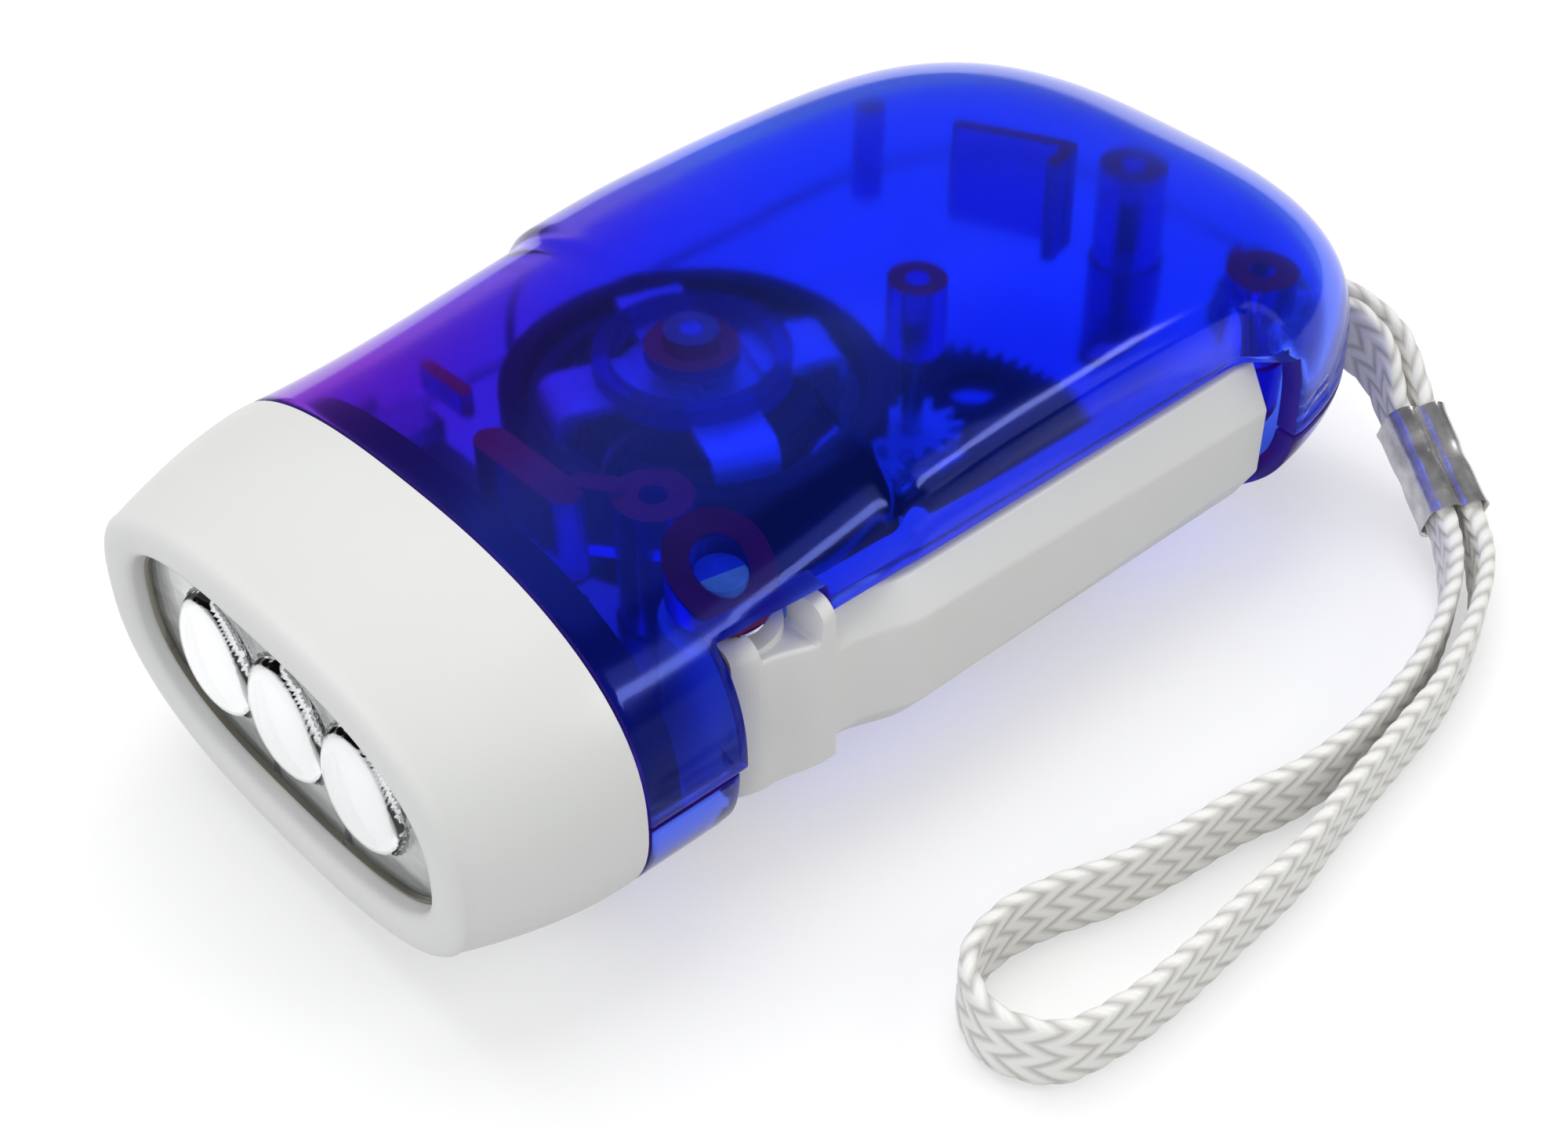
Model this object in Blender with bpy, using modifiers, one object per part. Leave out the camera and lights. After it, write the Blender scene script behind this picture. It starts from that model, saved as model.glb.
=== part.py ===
"""Hand squeezed dynamo flashlight.

Metres, +Z up. The lens faces -Y, the tail +Y, the squeeze lever +X. The origin is the middle of the
flat face under the lower shell, on which the flashlight lies. The drive's round pieces stand upright.
"""
import math

import bmesh
import bpy
from mathutils import Matrix, Vector

mm = 0.001

# Housing, with places along the length measured from the middle of the rest face
front_y = -56.5 * mm
junction_y = -41.5 * mm
tail_y = 50.7 * mm
step_y = -13.5 * mm
seam_z = 16.0 * mm
neck_half_width = 27.0 * mm
body_half_width = 29.4 * mm
neck_half_height = 16.2 * mm
crown_height = 19.6 * mm
belly_depth = 16.4 * mm
wall = 2.0 * mm
fit_gap = 0.3 * mm
front_half_width = 23.4 * mm
front_half_height = 12.6 * mm
aperture_half_width = 19.8 * mm
aperture_half_height = 9.1 * mm
lip_depth = 1.9 * mm
spigot_wall = 1.4 * mm
spigot_length = 4.0 * mm

# Finger recess and lever slot on the +X side
grip_x = 25.0 * mm
grip_front_y = -30.5 * mm
undercut_front_y = -33.2 * mm
undercut_slope = 0.85
undercut_x = 27.0 * mm
undercut_depth = 3.8 * mm
grip_tail_y = 24.0 * mm
slot_half_height = 7.9 * mm
slot_front_y = -32.2 * mm
slot_tail_y = 29.0 * mm
notch_half_height = 10.2 * mm
notch_tail_y = -22.0 * mm

# Lever
pivot_x = 19.0 * mm
pivot_y = -28.0 * mm
lever_tail_y = 24.5 * mm
lever_face_x = 27.2 * mm
lever_back_x = 20.6 * mm
lever_face_half_front = 4.3 * mm
lever_face_half_tail = 3.3 * mm
lever_side_half = 7.3 * mm
lever_wall = 1.6 * mm
hub_radius = 4.8 * mm
ear_height = 9.6 * mm
ear_foot_z = seam_z - lever_side_half + 0.9 * mm
ear_sweep_radius = 6.2 * mm
ear_sweep_inner = 3.55 * mm
pin_radius = 1.5 * mm

# Gear train
sector_teeth = 104
drive_pinion_teeth = 12
drive_module = 0.7 * mm
gear_teeth = 68
rotor_pinion_teeth = 13
gear_module = 0.5 * mm
shaft_radius = 1.0 * mm
running_gap = 0.05 * mm
gear_bottom_z = 7.2 * mm
gear_thickness = 2.2 * mm
pawl_thickness = 1.0 * mm
sector_thickness = 2.0 * mm

# Flywheel and stator
rotor_x = -5.0 * mm
rotor_y = -10.0 * mm
rotor_radius = 15.5 * mm
rotor_floor = 1.8 * mm
rotor_height = 9.0 * mm
rotor_rim = 1.2 * mm
magnet_thickness = 1.5 * mm
claw_radius = 12.1 * mm
claw_width = 6.0 * mm
claw_count = 4
plate_thickness = 0.8 * mm
stator_height = 8.2 * mm
core_radius = 3.4 * mm
core_bore = 1.9 * mm
bobbin_radius = 10.4 * mm
bobbin_flange = 0.6 * mm
ring_rib_radius = 8.2 * mm
ring_rib_wall = 1.2 * mm
first_claw_deg = -21.0

# Lamp
led_pitch = 9.8 * mm
led_radius = 2.5 * mm
led_length = 6.6 * mm
bulge_radius = 4.7 * mm
bulge_rise = 2.2 * mm
window_thickness = 1.4 * mm
cup_depth = 6.0 * mm
board_thickness = 1.0 * mm

# Charge store and slide switch
cell_radius = 5.8 * mm
cell_height = 5.4 * mm
cell_count = 3
cell_x = -12.0 * mm
cell_y = -34.2 * mm
cell_z = 10.1 * mm
board_lift = 2.8 * mm
switch_y = -30.0 * mm
switch_length = 8.0 * mm
switch_height = 5.0 * mm
button_travel = 3.0 * mm
button_length = 7.0 * mm

# Screws, posts and strap
screw_radius = 1.1 * mm
screw_head_radius = 2.4 * mm
screw_head_height = 1.5 * mm
post_radius = 3.2 * mm
screw_places = ((9.5 * mm, -26.3 * mm), (0.3 * mm, 39.0 * mm), (17.6 * mm, 36.2 * mm))
tape_width = 6.8 * mm
tape_thickness = 1.5 * mm
ferrule_wall = 0.5 * mm
bar_place = (13.0 * mm, 41.5 * mm)
bar_radius = 1.2 * mm

# Derived places
drive_pinion_radius = drive_pinion_teeth * drive_module / 2
sector_radius = sector_teeth * drive_module / 2
gear_radius = gear_teeth * gear_module / 2
rotor_pinion_radius = rotor_pinion_teeth * gear_module / 2
gear_reach = gear_radius + rotor_pinion_radius
sector_reach = sector_radius + drive_pinion_radius
# The drive gear stands where both centre distances hold, from the rotor and from the lever's pivot
axis_span = math.hypot(rotor_x - pivot_x, rotor_y - pivot_y)
span_x = (rotor_x - pivot_x) / axis_span
span_y = (rotor_y - pivot_y) / axis_span
gear_along = (sector_reach**2 - gear_reach**2 + axis_span**2) / (2 * axis_span)
gear_aside = math.sqrt(sector_reach**2 - gear_along**2)
gear_x = pivot_x + span_x * gear_along + span_y * gear_aside
gear_y = pivot_y + span_y * gear_along - span_x * gear_aside
gear_top_z = gear_bottom_z + gear_thickness
sector_z = gear_top_z + fit_gap + 0.4 * mm
rotor_z = sector_z + sector_thickness + fit_gap + 0.2 * mm
rotor_top_z = rotor_z + rotor_height
magnet_radius = rotor_radius - rotor_rim - fit_gap
stator_z = rotor_z + rotor_floor + fit_gap + 0.3 * mm
stator_top_z = stator_z + stator_height
seam_low = seam_z - fit_gap / 2
seam_high = seam_z + fit_gap / 2
window_y = front_y + lip_depth + fit_gap
reflector_y = window_y + window_thickness + fit_gap
lamp_board_y = reflector_y + cup_depth + 2 * fit_gap + 1.2 * mm
hub_half_height = lever_side_half
tape_z = seam_z - 1.0 * mm
bar_half_length = tape_width / 2 + 3.4 * mm

for old in list(bpy.data.objects):
    bpy.data.objects.remove(old, do_unlink=True)

parts = bpy.data.collections.new("dynamo_flashlight")
tools = bpy.data.collections.new("cutters")
bpy.context.scene.collection.children.link(parts)
bpy.context.scene.collection.children.link(tools)


def finish(name, colour, roughness, metallic=0.0, transmission=0.0):
    """A Principled material with the part's colour."""
    made = bpy.data.materials.new(name)
    made.use_nodes = True
    shader = made.node_tree.nodes["Principled BSDF"]
    shader.inputs["Base Color"].default_value = (*colour, 1.0)
    shader.inputs["Roughness"].default_value = roughness
    shader.inputs["Metallic"].default_value = metallic
    shader.inputs["Transmission Weight"].default_value = transmission
    return made


blue_plastic = finish("blue_plastic", (0.01, 0.03, 0.75), 0.25, transmission=0.6)
grey_plastic = finish("grey_plastic", (0.74, 0.75, 0.72), 0.45)
clear_plastic = finish("clear_plastic", (0.95, 0.96, 0.97), 0.05, transmission=0.9)
chrome = finish("chrome", (0.85, 0.86, 0.88), 0.12, metallic=1.0)
board_green = finish("board_green", (0.02, 0.22, 0.08), 0.5)
cell_wrap = finish("cell_wrap", (0.08, 0.45, 0.12), 0.4)
black_plastic = finish("black_plastic", (0.015, 0.015, 0.017), 0.45)
magnet_black = finish("magnet_black", (0.06, 0.06, 0.065), 0.6)
steel = finish("steel", (0.62, 0.63, 0.65), 0.3, metallic=1.0)
plate_steel = finish("plate_steel", (0.7, 0.71, 0.73), 0.35, metallic=0.9)
brass = finish("brass", (0.75, 0.55, 0.2), 0.3, metallic=1.0)
copper = finish("copper", (0.7, 0.3, 0.12), 0.35, metallic=1.0)
nylon = finish("nylon", (0.85, 0.86, 0.82), 0.5)
tape_white = finish("tape_white", (0.88, 0.87, 0.84), 0.7)
red_wire = finish("red_wire", (0.6, 0.03, 0.03), 0.4)


def smooth_step(value):
    value = min(max(value, 0.0), 1.0)
    return value * value * (3.0 - 2.0 * value)


def place(name, mesh, coat=None):
    """Link a new object: a part when it has a material, a cutter when it has none."""
    made = bpy.data.objects.new(name, mesh)
    if coat is None:
        tools.objects.link(made)
        made.hide_render = True
        made.display_type = "WIRE"
    else:
        parts.objects.link(made)
        mesh.materials.append(coat)
        mesh.shade_smooth()
        mesh.set_sharp_from_angle(angle=math.radians(35))
    return made


def to_object(name, bm, coat=None):
    bmesh.ops.recalc_face_normals(bm, faces=bm.faces)
    mesh = bpy.data.meshes.new(name)
    bm.to_mesh(mesh)
    bm.free()
    return place(name, mesh, coat)


def box(name, low, high, coat=None):
    """A block between two corners."""
    low, high = Vector(low), Vector(high)
    bm = bmesh.new()
    bmesh.ops.create_cube(bm, size=1.0)
    bmesh.ops.scale(bm, vec=high - low, verts=bm.verts)
    bmesh.ops.translate(bm, vec=(low + high) / 2, verts=bm.verts)
    return to_object(name, bm, coat)


def rod(name, centre, low, high, radius, coat=None, sides=24, tip_radius=None):
    """An upright cylinder, or a cone with tip_radius, from height low to height high."""
    bm = bmesh.new()
    bmesh.ops.create_cone(
        bm,
        cap_ends=True,
        segments=sides,
        radius1=radius,
        radius2=radius if tip_radius is None else tip_radius,
        depth=high - low,
    )
    made = to_object(name, bm, coat)
    made.location = (centre[0], centre[1], (low + high) / 2)
    return made


def turned(name, profile, coat=None, sides=32, closed=True):
    """A body turned about its own Z from (radius, height) points, down the outer side."""
    bm = bmesh.new()
    verts = [bm.verts.new((radius, 0.0, height)) for radius, height in profile]
    for first, second in zip(verts, verts[1:] + (verts[:1] if closed else [])):
        bm.edges.new((first, second))
    mesh = bpy.data.meshes.new(name)
    bm.to_mesh(mesh)
    bm.free()
    made = place(name, mesh, coat)
    spin = made.modifiers.new("turn", "SCREW")
    spin.axis = "Z"
    spin.steps = sides
    spin.render_steps = sides
    spin.use_merge_vertices = True
    spin.merge_threshold = 0.005 * mm
    spin.use_smooth_shade = True
    return made


def polar(radius, angle_deg):
    angle = math.radians(angle_deg)
    return radius * math.cos(angle), radius * math.sin(angle)


def arc(radius, start_deg, end_deg, steps):
    step = (end_deg - start_deg) / steps
    return [polar(radius, start_deg + step * index) for index in range(steps + 1)]


def flat_piece(name, outlines, low, thickness, coat=None):
    """A plate from closed outlines, the first its edge and the others its holes."""
    curve = bpy.data.curves.new(name, "CURVE")
    curve.dimensions = "2D"
    curve.fill_mode = "BOTH"
    curve.extrude = thickness / 2
    for outline in outlines:
        spline = curve.splines.new("POLY")
        spline.points.add(len(outline) - 1)
        for point, (x, y) in zip(spline.points, outline):
            point.co = (x, y, 0.0, 1.0)
        spline.use_cyclic_u = True
    drawn = bpy.data.objects.new(name + "_outline", curve)
    tools.objects.link(drawn)
    bpy.context.view_layer.update()
    graph = bpy.context.evaluated_depsgraph_get()
    mesh = bpy.data.meshes.new_from_object(drawn.evaluated_get(graph))
    bpy.data.objects.remove(drawn, do_unlink=True)
    bm = bmesh.new()
    bm.from_mesh(mesh)
    bmesh.ops.remove_doubles(bm, verts=bm.verts, dist=0.002 * mm)
    bmesh.ops.translate(bm, vec=(0, 0, low + thickness / 2), verts=bm.verts)
    return to_object(name, bm, coat)


def wire(name, points, radius, coat, resolution=1):
    """A round wire along hand chosen points, smoothed between them."""
    curve = bpy.data.curves.new(name, "CURVE")
    curve.dimensions = "3D"
    curve.bevel_depth = radius
    curve.bevel_resolution = resolution
    curve.use_fill_caps = True
    spline = curve.splines.new("POLY")
    spline.points.add(len(points) - 1)
    for point, place_on_route in zip(spline.points, points):
        point.co = (*place_on_route, 1.0)
    made = bpy.data.objects.new(name, curve)
    parts.objects.link(made)
    curve.materials.append(coat)
    return made


def through(points, steps):
    """Points on a smooth curve through the given ones."""
    points = [Vector(point) for point in points]
    ends = [2 * points[0] - points[1]] + points + [2 * points[-1] - points[-2]]
    route = []
    for index in range(1, len(ends) - 2):
        before, start, end, after = ends[index - 1 : index + 3]
        for step in range(steps):
            part = step / steps
            bend = 2 * before - 5 * start + 4 * end - after
            twist = 3 * start - before - 3 * end + after
            moved = (end - before) * part + bend * part**2 + twist * part**3
            route.append(start + 0.5 * moved)
    return route + [points[-1]]


def cut(target, cutter, operation="DIFFERENCE"):
    step = target.modifiers.new(cutter.name, "BOOLEAN")
    step.operation = operation
    step.object = cutter
    return target


def circle(x, y, radius, sides=32, start=0.0):
    turns = [start + 2 * math.pi * index / sides for index in range(sides)]
    return [(x + radius * math.cos(turn), y + radius * math.sin(turn)) for turn in turns]


def loft(name, rings, coat=None, closed=False):
    """A skin over rings of equal count; open lofts get flat end caps, closed ones return to the start."""
    bm = bmesh.new()
    loops = [[bm.verts.new(point) for point in ring] for ring in rings]
    pairs = list(zip(loops, loops[1:] + (loops[:1] if closed else [])))
    for first, second in pairs:
        count = len(first)
        for index in range(count):
            after = (index + 1) % count
            bm.faces.new((first[index], first[after], second[after], second[index]))
    if not closed:
        bm.faces.new(loops[0])
        bm.faces.new(reversed(loops[-1]))
    bmesh.ops.remove_doubles(bm, verts=bm.verts, dist=0.005 * mm)
    bmesh.ops.dissolve_degenerate(bm, edges=bm.edges, dist=0.002 * mm)
    bmesh.ops.triangulate(bm, faces=bm.faces)
    return to_object(name, bm, coat)


# Housing surface

ring_sides = 36


def oval(y, half_width, half_height, power, depth=None, low_power=None, sides=ring_sides):
    """A pillow shaped ring round the seam line; depth and low_power are those of its lower half."""
    ring = []
    for index in range(sides):
        turn = 2 * math.pi * (index + 0.5) / sides
        across, up = math.cos(turn), math.sin(turn)
        bend = power if up > 0 or low_power is None else low_power
        rise = half_height if up > 0 or depth is None else depth
        x = half_width * math.copysign(abs(across) ** (2 / bend), across)
        z = rise * math.copysign(abs(up) ** (2 / bend), up)
        ring.append(Vector((x, y, seam_z + z)))
    return ring


def body_ring(y, inset):
    """The housing's section at y, drawn in by inset."""
    grown = smooth_step((y - step_y + 1.2 * mm) / (2.4 * mm))
    swell = smooth_step((y - step_y) / (22 * mm))
    middle = neck_half_width + (body_half_width - neck_half_width) * (0.65 * grown + 0.35 * swell)
    rise = smooth_step((y - junction_y) / (40 * mm))
    height = neck_half_height + (crown_height - neck_half_height) * rise
    depth = neck_half_height + (belly_depth - neck_half_height) * rise
    end = tail_y - inset
    corner_start, crown_start = 20 * mm, 8 * mm
    narrow = max(0.0, (y - corner_start) / (end - corner_start))
    lower = max(0.0, (y - crown_start) / (end - crown_start))
    half_width = (middle - inset) * max(0.0, 1 - narrow**2.7) ** (1 / 2.7)
    shrink = max(0.0, 1 - lower**2.4) ** (1 / 2.4)
    powers = (2.5 + 0.5 * rise, 2.1 - 0.18 * rise)
    tall, deep = (height - inset) * shrink, (depth - inset) * shrink
    ring = oval(y, half_width, tall, powers[0], deep, powers[1])
    out = smooth_step((y - grip_tail_y) / (9 * mm))
    upper_into = smooth_step((y - grip_front_y + 1.5 * mm) / (3 * mm))
    lower_into = smooth_step((y - undercut_front_y + 1.2 * mm) / (2.4 * mm))
    deeper = 0.9 * mm * (1 - smooth_step((y + 22 * mm) / (6 * mm)))
    blend = 0.7 * mm
    for point in ring:
        limit, into = grip_x - inset, upper_into
        if point.z < seam_z:
            below = max(0.0, seam_z - point.z - undercut_depth)
            slanted = undercut_x - deeper - undercut_slope * below - 1.3 * inset
            limit, into = min(limit, slanted), lower_into
        over = (point.x - limit - 8 * mm * (1 - into * (1 - out))) / blend
        if over > -8:
            point.x -= blend * (over if over > 30 else math.log1p(math.exp(over)))
    return ring


def spread(low, high, count):
    return [low + (high - low) * index / count for index in range(count)]


def body_stations(start, end):
    """Places along the length, closer where the outline changes fast."""
    stations = spread(start, undercut_front_y - 1.2 * mm, 2)
    stations += spread(undercut_front_y - 1.2 * mm, undercut_front_y + 1.2 * mm, 2)
    stations += spread(grip_front_y - 1.5 * mm, grip_front_y + 1.5 * mm, 3)
    stations += spread(grip_front_y + 1.5 * mm, step_y - 1.2 * mm, 3)
    stations += spread(step_y - 1.2 * mm, step_y + 1.2 * mm, 3)
    stations += spread(step_y + 1.2 * mm, grip_tail_y, 5)
    rounding = 10
    for index in range(rounding + 1):
        turn = math.pi / 2 * index / rounding
        stations.append(grip_tail_y + (end - grip_tail_y) * math.sin(turn))
    return stations


def body_solid(name, inset, start, coat=None):
    end = tail_y - inset
    return loft(name, [body_ring(y, inset) for y in body_stations(start, end)], coat)


def housing_half(name, upper):
    """One blue half shell: outer form less a hollow from which posts and ribs stand out."""
    sign = 1 if upper else -1
    shell = body_solid(name, 0.0, junction_y, blue_plastic)
    hollow = body_solid(name + "_hollow", wall, junction_y - 3 * mm)
    far = 60 * mm
    if upper:
        away = box(name + "_half", (-far, -far, -far), (far, far, seam_high))
    else:
        away = box(name + "_half", (-far, -far, seam_low), (far, far, far))
    for index, post in enumerate(upper_posts() if upper else lower_posts()):
        cut(hollow, post)
    cut(shell, hollow)
    cut(shell, away)
    for window in (button_window, strap_window, slot_cutter, notch_cutter, ear_room, hub_room):
        cut(shell, window)
    if not upper:
        cut(shell, box("rest_face_cut", (-far, -far, -far), (far, far, 0.0)))
    return shell


def post(name, centre, upper, level, radius, sides=20):
    """A post from the crown or the belly to a level, made as a piece of the hollow left solid."""
    far = 30 * mm
    if upper:
        return rod(name, centre, level, seam_z + far, radius, sides=sides)
    return rod(name, centre, seam_z - far, level, radius, sides=sides)


def rib(name, start, end, thickness, upper, level):
    """A straight upright rib between two plan points."""
    start, end = Vector(start), Vector(end)
    along = (end - start).normalized()
    side = Vector((-along.y, along.x)) * thickness / 2
    corners = [start + side, start - side, end - side, end + side]
    far = 30 * mm
    low, high = (level, seam_z + far) if upper else (seam_z - far, level)
    return flat_piece(name, [[(point.x, point.y) for point in corners]], low, high - low)


boss_wall = 1.6 * mm
rib_wall = 1.3 * mm
bar_boss = bar_radius + 1.2 * mm
locating_place = (-22.6 * mm, 27.0 * mm)
tail_rib_start = (-12.4 * mm, 28.0 * mm)
tail_rib_end = (-2.0 * mm, 33.0 * mm)
tail_foot_start = (-2.4 * mm, 33.4 * mm)
tail_foot_end = (-1.2 * mm, 29.0 * mm)
tail_rib_z = seam_z + 3 * mm
board_low_x = -16.0 * mm
board_high_x = 5.4 * mm
board_middle_x = (board_low_x + board_high_x) / 2
board_front_y = cell_y - cell_radius + 0.2 * mm
board_back_y = cell_y + cell_radius - 0.2 * mm
board_rib_y = switch_y - 1.0 * mm
rotor_place = (rotor_x, rotor_y)
gear_place = (gear_x, gear_y)
pivot_place = (pivot_x, pivot_y)
bush_radius = shaft_radius + 1.4 * mm
bush_length = 2.6 * mm
rotor_foot_z = gear_bottom_z - fit_gap
shaft_top_z = stator_top_z + 4.4 * mm
gear_shaft_top_z = seam_z + 8 * mm
boss_top_z = seam_z + hub_half_height + 1.5 * mm
boss_foot_z = seam_z - hub_half_height - fit_gap


def upper_posts():
    """Posts and ribs that hang from the crown."""
    made = []
    for index, at in enumerate(screw_places):
        made.append(post(f"upper_screw_post_{index}", at, True, seam_high, post_radius))
    ring_low = stator_top_z + fit_gap
    ring_outer = post("stator_ring_outer", rotor_place, True, ring_low, ring_rib_radius, 32)
    ring_hollow = ring_rib_radius - ring_rib_wall
    ring_inner = post("stator_ring_inner", rotor_place, True, seam_z - 5 * mm, ring_hollow, 32)
    cut(ring_outer, ring_inner)
    made.append(ring_outer)
    made.append(post("rotor_cup", rotor_place, True, shaft_top_z - bush_length, bush_radius + boss_wall))
    made.append(post("gear_cup", gear_place, True, gear_shaft_top_z - 3 * mm, shaft_radius + boss_wall))
    pivot_boss = pin_radius + boss_wall + 0.6 * mm
    made.append(post("pivot_boss_upper", pivot_place, True, boss_top_z, pivot_boss))
    bar_boss_low = tape_z + tape_width / 2 + 0.7 * mm
    made.append(post("bar_boss_upper", bar_place, True, bar_boss_low, bar_boss))
    made.append(post("locating_post", locating_place, True, seam_z + 1 * mm, 1.5 * mm, 14))
    made.append(rib("tail_rib", tail_rib_start, tail_rib_end, rib_wall, True, tail_rib_z))
    made.append(rib("tail_rib_foot", tail_foot_start, tail_foot_end, rib_wall, True, tail_rib_z))
    board_stop = board_z + board_thickness + fit_gap
    board_rib_ends = ((board_middle_x - 0.7 * mm, board_rib_y), (board_high_x + 0.2 * mm, board_rib_y))
    made.append(rib("board_rib", *board_rib_ends, 1.6 * mm, True, board_stop))
    for name, y in (("switch_rib_front", switch_y - 5.6 * mm), ("switch_rib_back", switch_y + 4.8 * mm)):
        made.append(rib(name, (-23 * mm, y), (-16 * mm, y), rib_wall, True, seam_z + 4 * mm))
    fin_root = (screw_places[0][0] - 0.5 * mm, screw_places[0][1] - 0.7 * mm)
    fin_tip = (screw_places[0][0] - 4.5 * mm, screw_places[0][1] - 3.9 * mm)
    made.append(rib("post_fin", fin_root, fin_tip, 1.6 * mm, True, seam_z + 6 * mm))
    return made


def lower_posts():
    """Posts and ribs that stand on the belly."""
    made = []
    for index, at in enumerate(screw_places):
        made.append(post(f"lower_screw_post_{index}", at, False, seam_low, post_radius))
    made.append(post("rotor_foot", rotor_place, False, rotor_foot_z, bush_radius + boss_wall))
    made.append(post("gear_foot", gear_place, False, gear_bottom_z - fit_gap, shaft_radius + boss_wall))
    bar_boss_high = tape_z - tape_width / 2 - 0.7 * mm
    made.append(post("bar_boss_lower", bar_place, False, bar_boss_high, bar_boss))
    made.append(post("pivot_boss_lower", pivot_place, False, boss_foot_z, pin_radius + 1.2 * mm))
    cradle_back_y = cell_y + 5 * mm
    cradle_z = cell_z - cell_radius - fit_gap
    for name, x in (("cell_cradle_a", cell_x + 2 * mm), ("cell_cradle_b", cell_x + 14 * mm)):
        made.append(rib(name, (x, rib_front_y), (x, cradle_back_y), 1.4 * mm, False, cradle_z))
    shelf_front, shelf_back = switch_y - switch_length / 2, switch_y + switch_length / 2
    shelf_ends = ((switch_x, shelf_front), (switch_x, shelf_back))
    made.append(rib("switch_shelf", *shelf_ends, 3.0 * mm, False, switch_z - fit_gap))
    board_wall_z = board_z - fit_gap
    walls = (
        ("board_wall_a", board_low_x + 1 * mm, board_back_y - 0.9 * mm),
        ("board_wall_b", board_high_x + 1 * mm, board_rib_y),
    )
    for name, x, y in walls:
        made.append(rib(name, (x, rib_front_y), (x, y), 1.2 * mm, False, board_wall_z))
    return made


rib_front_y = junction_y + spigot_length + 2 * fit_gap
board_z = cell_z + cell_radius + board_lift
switch_x = -21.6 * mm
switch_z = seam_z - switch_height / 2
button_half_height = 2.4 * mm
button_y = switch_y - button_travel / 2

slot_cutter = box(
    "slot_cutter",
    (pivot_x + 1.0 * mm, slot_front_y, seam_z - slot_half_height),
    (60 * mm, slot_tail_y, seam_z + slot_half_height),
)
notch_cutter = box(
    "notch_cutter",
    (pivot_x + 3.4 * mm, slot_front_y + 0.3 * mm, seam_z - notch_half_height),
    (60 * mm, notch_tail_y, seam_z + notch_half_height),
)
# The opened lever's front ear swings in under the crown, round the pivot post
ear_room_low = ear_foot_z - fit_gap
ear_room_high = seam_z + notch_half_height
ear_path = arc(ear_sweep_radius, -64, 2, 10) + arc(ear_sweep_inner, 2, -64, 6)
ear_room = flat_piece("ear_room", [ear_path], ear_room_low, ear_room_high - ear_room_low)
ear_room.location = (pivot_x, pivot_y, 0)
button_window = box(
    "button_window",
    (-40 * mm, button_y - 2.1 * mm, seam_z - 1.45 * mm),
    (-neck_half_width + wall + 0.9 * mm, button_y + button_travel + 2.1 * mm, seam_z + 1.45 * mm),
)
hub_clear = hub_half_height + 0.4 * mm
hub_low, hub_high = seam_z - hub_clear, seam_z + hub_clear
hub_room = rod("hub_room", pivot_place, hub_low, hub_high, hub_radius + 0.4 * mm, sides=28)
strap_turn = math.radians(-41)
strap_hole = Vector((17.0 * mm, 47.0 * mm, tape_z))
strap_window = box(
    "strap_window",
    (-3.1 * mm, -4.5 * mm, -tape_width / 2 - 0.5 * mm),
    (3.1 * mm, 6 * mm, tape_width / 2 + 0.5 * mm),
)
strap_window.location = strap_hole
strap_window.rotation_euler = (0, 0, strap_turn)
print("cutters placed")


def screw_bores(shell, upper):
    """Clearance and head bores from below, blind pilot bores above."""
    for index, at in enumerate(screw_places):
        if upper:
            pilot = screw_radius + running_gap
            cut(shell, rod(f"pilot_{index}", at, seam_z - 5 * mm, seam_z + 8 * mm, pilot, sides=16))
            continue
        clearance = screw_radius + fit_gap
        cut(shell, rod(f"clearance_{index}", at, -1 * mm, seam_z + 5 * mm, clearance, sides=16))
        head_room = screw_head_radius + fit_gap
        cut(shell, rod(f"head_bore_{index}", at, -5 * mm, screw_seat_z, head_room, sides=20))


screw_seat_z = 8.4 * mm

bush_bore = bush_radius + running_gap
shaft_bore = shaft_radius + running_gap
bar_bore = bar_radius + running_gap
pin_bore = pin_radius + running_gap
bar_low, bar_high = tape_z - bar_half_length, tape_z + bar_half_length
pin_top_z = seam_z + 11.6 * mm
pin_foot_z = seam_z - 10.0 * mm
bush_foot_z = rotor_foot_z - bush_length
gear_shaft_foot_z = gear_bottom_z - fit_gap - 3.2 * mm
bore_end = 0.2 * mm

upper_shell = housing_half("upper_shell", True)
screw_bores(upper_shell, True)
for name, at, low, high, radius, sides in (
    ("bush_bore_upper", rotor_place, stator_top_z - 9 * mm, shaft_top_z, bush_bore, 24),
    ("gear_bore_upper", gear_place, seam_z - 5 * mm, gear_shaft_top_z, shaft_bore, 16),
    ("bar_bore_upper", bar_place, seam_z, bar_high, bar_bore, 16),
    ("pin_bore_upper", pivot_place, seam_z, pin_top_z, pin_bore, 20),
):
    cut(upper_shell, rod(name, at, low, high + bore_end, radius, sides=sides))

lower_shell = housing_half("lower_shell", False)
screw_bores(lower_shell, False)
for name, at, low, radius, sides in (
    ("bar_bore_lower", bar_place, bar_low, bar_bore, 16),
    ("bush_bore_lower", rotor_place, bush_foot_z, bush_bore, 24),
    ("gear_bore_lower", gear_place, gear_shaft_foot_z, shaft_bore, 16),
    ("pin_bore_lower", pivot_place, pin_foot_z, pin_bore, 20),
):
    cut(lower_shell, rod(name, at, low - bore_end, seam_z, radius, sides=sides))
print("shells made")


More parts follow.
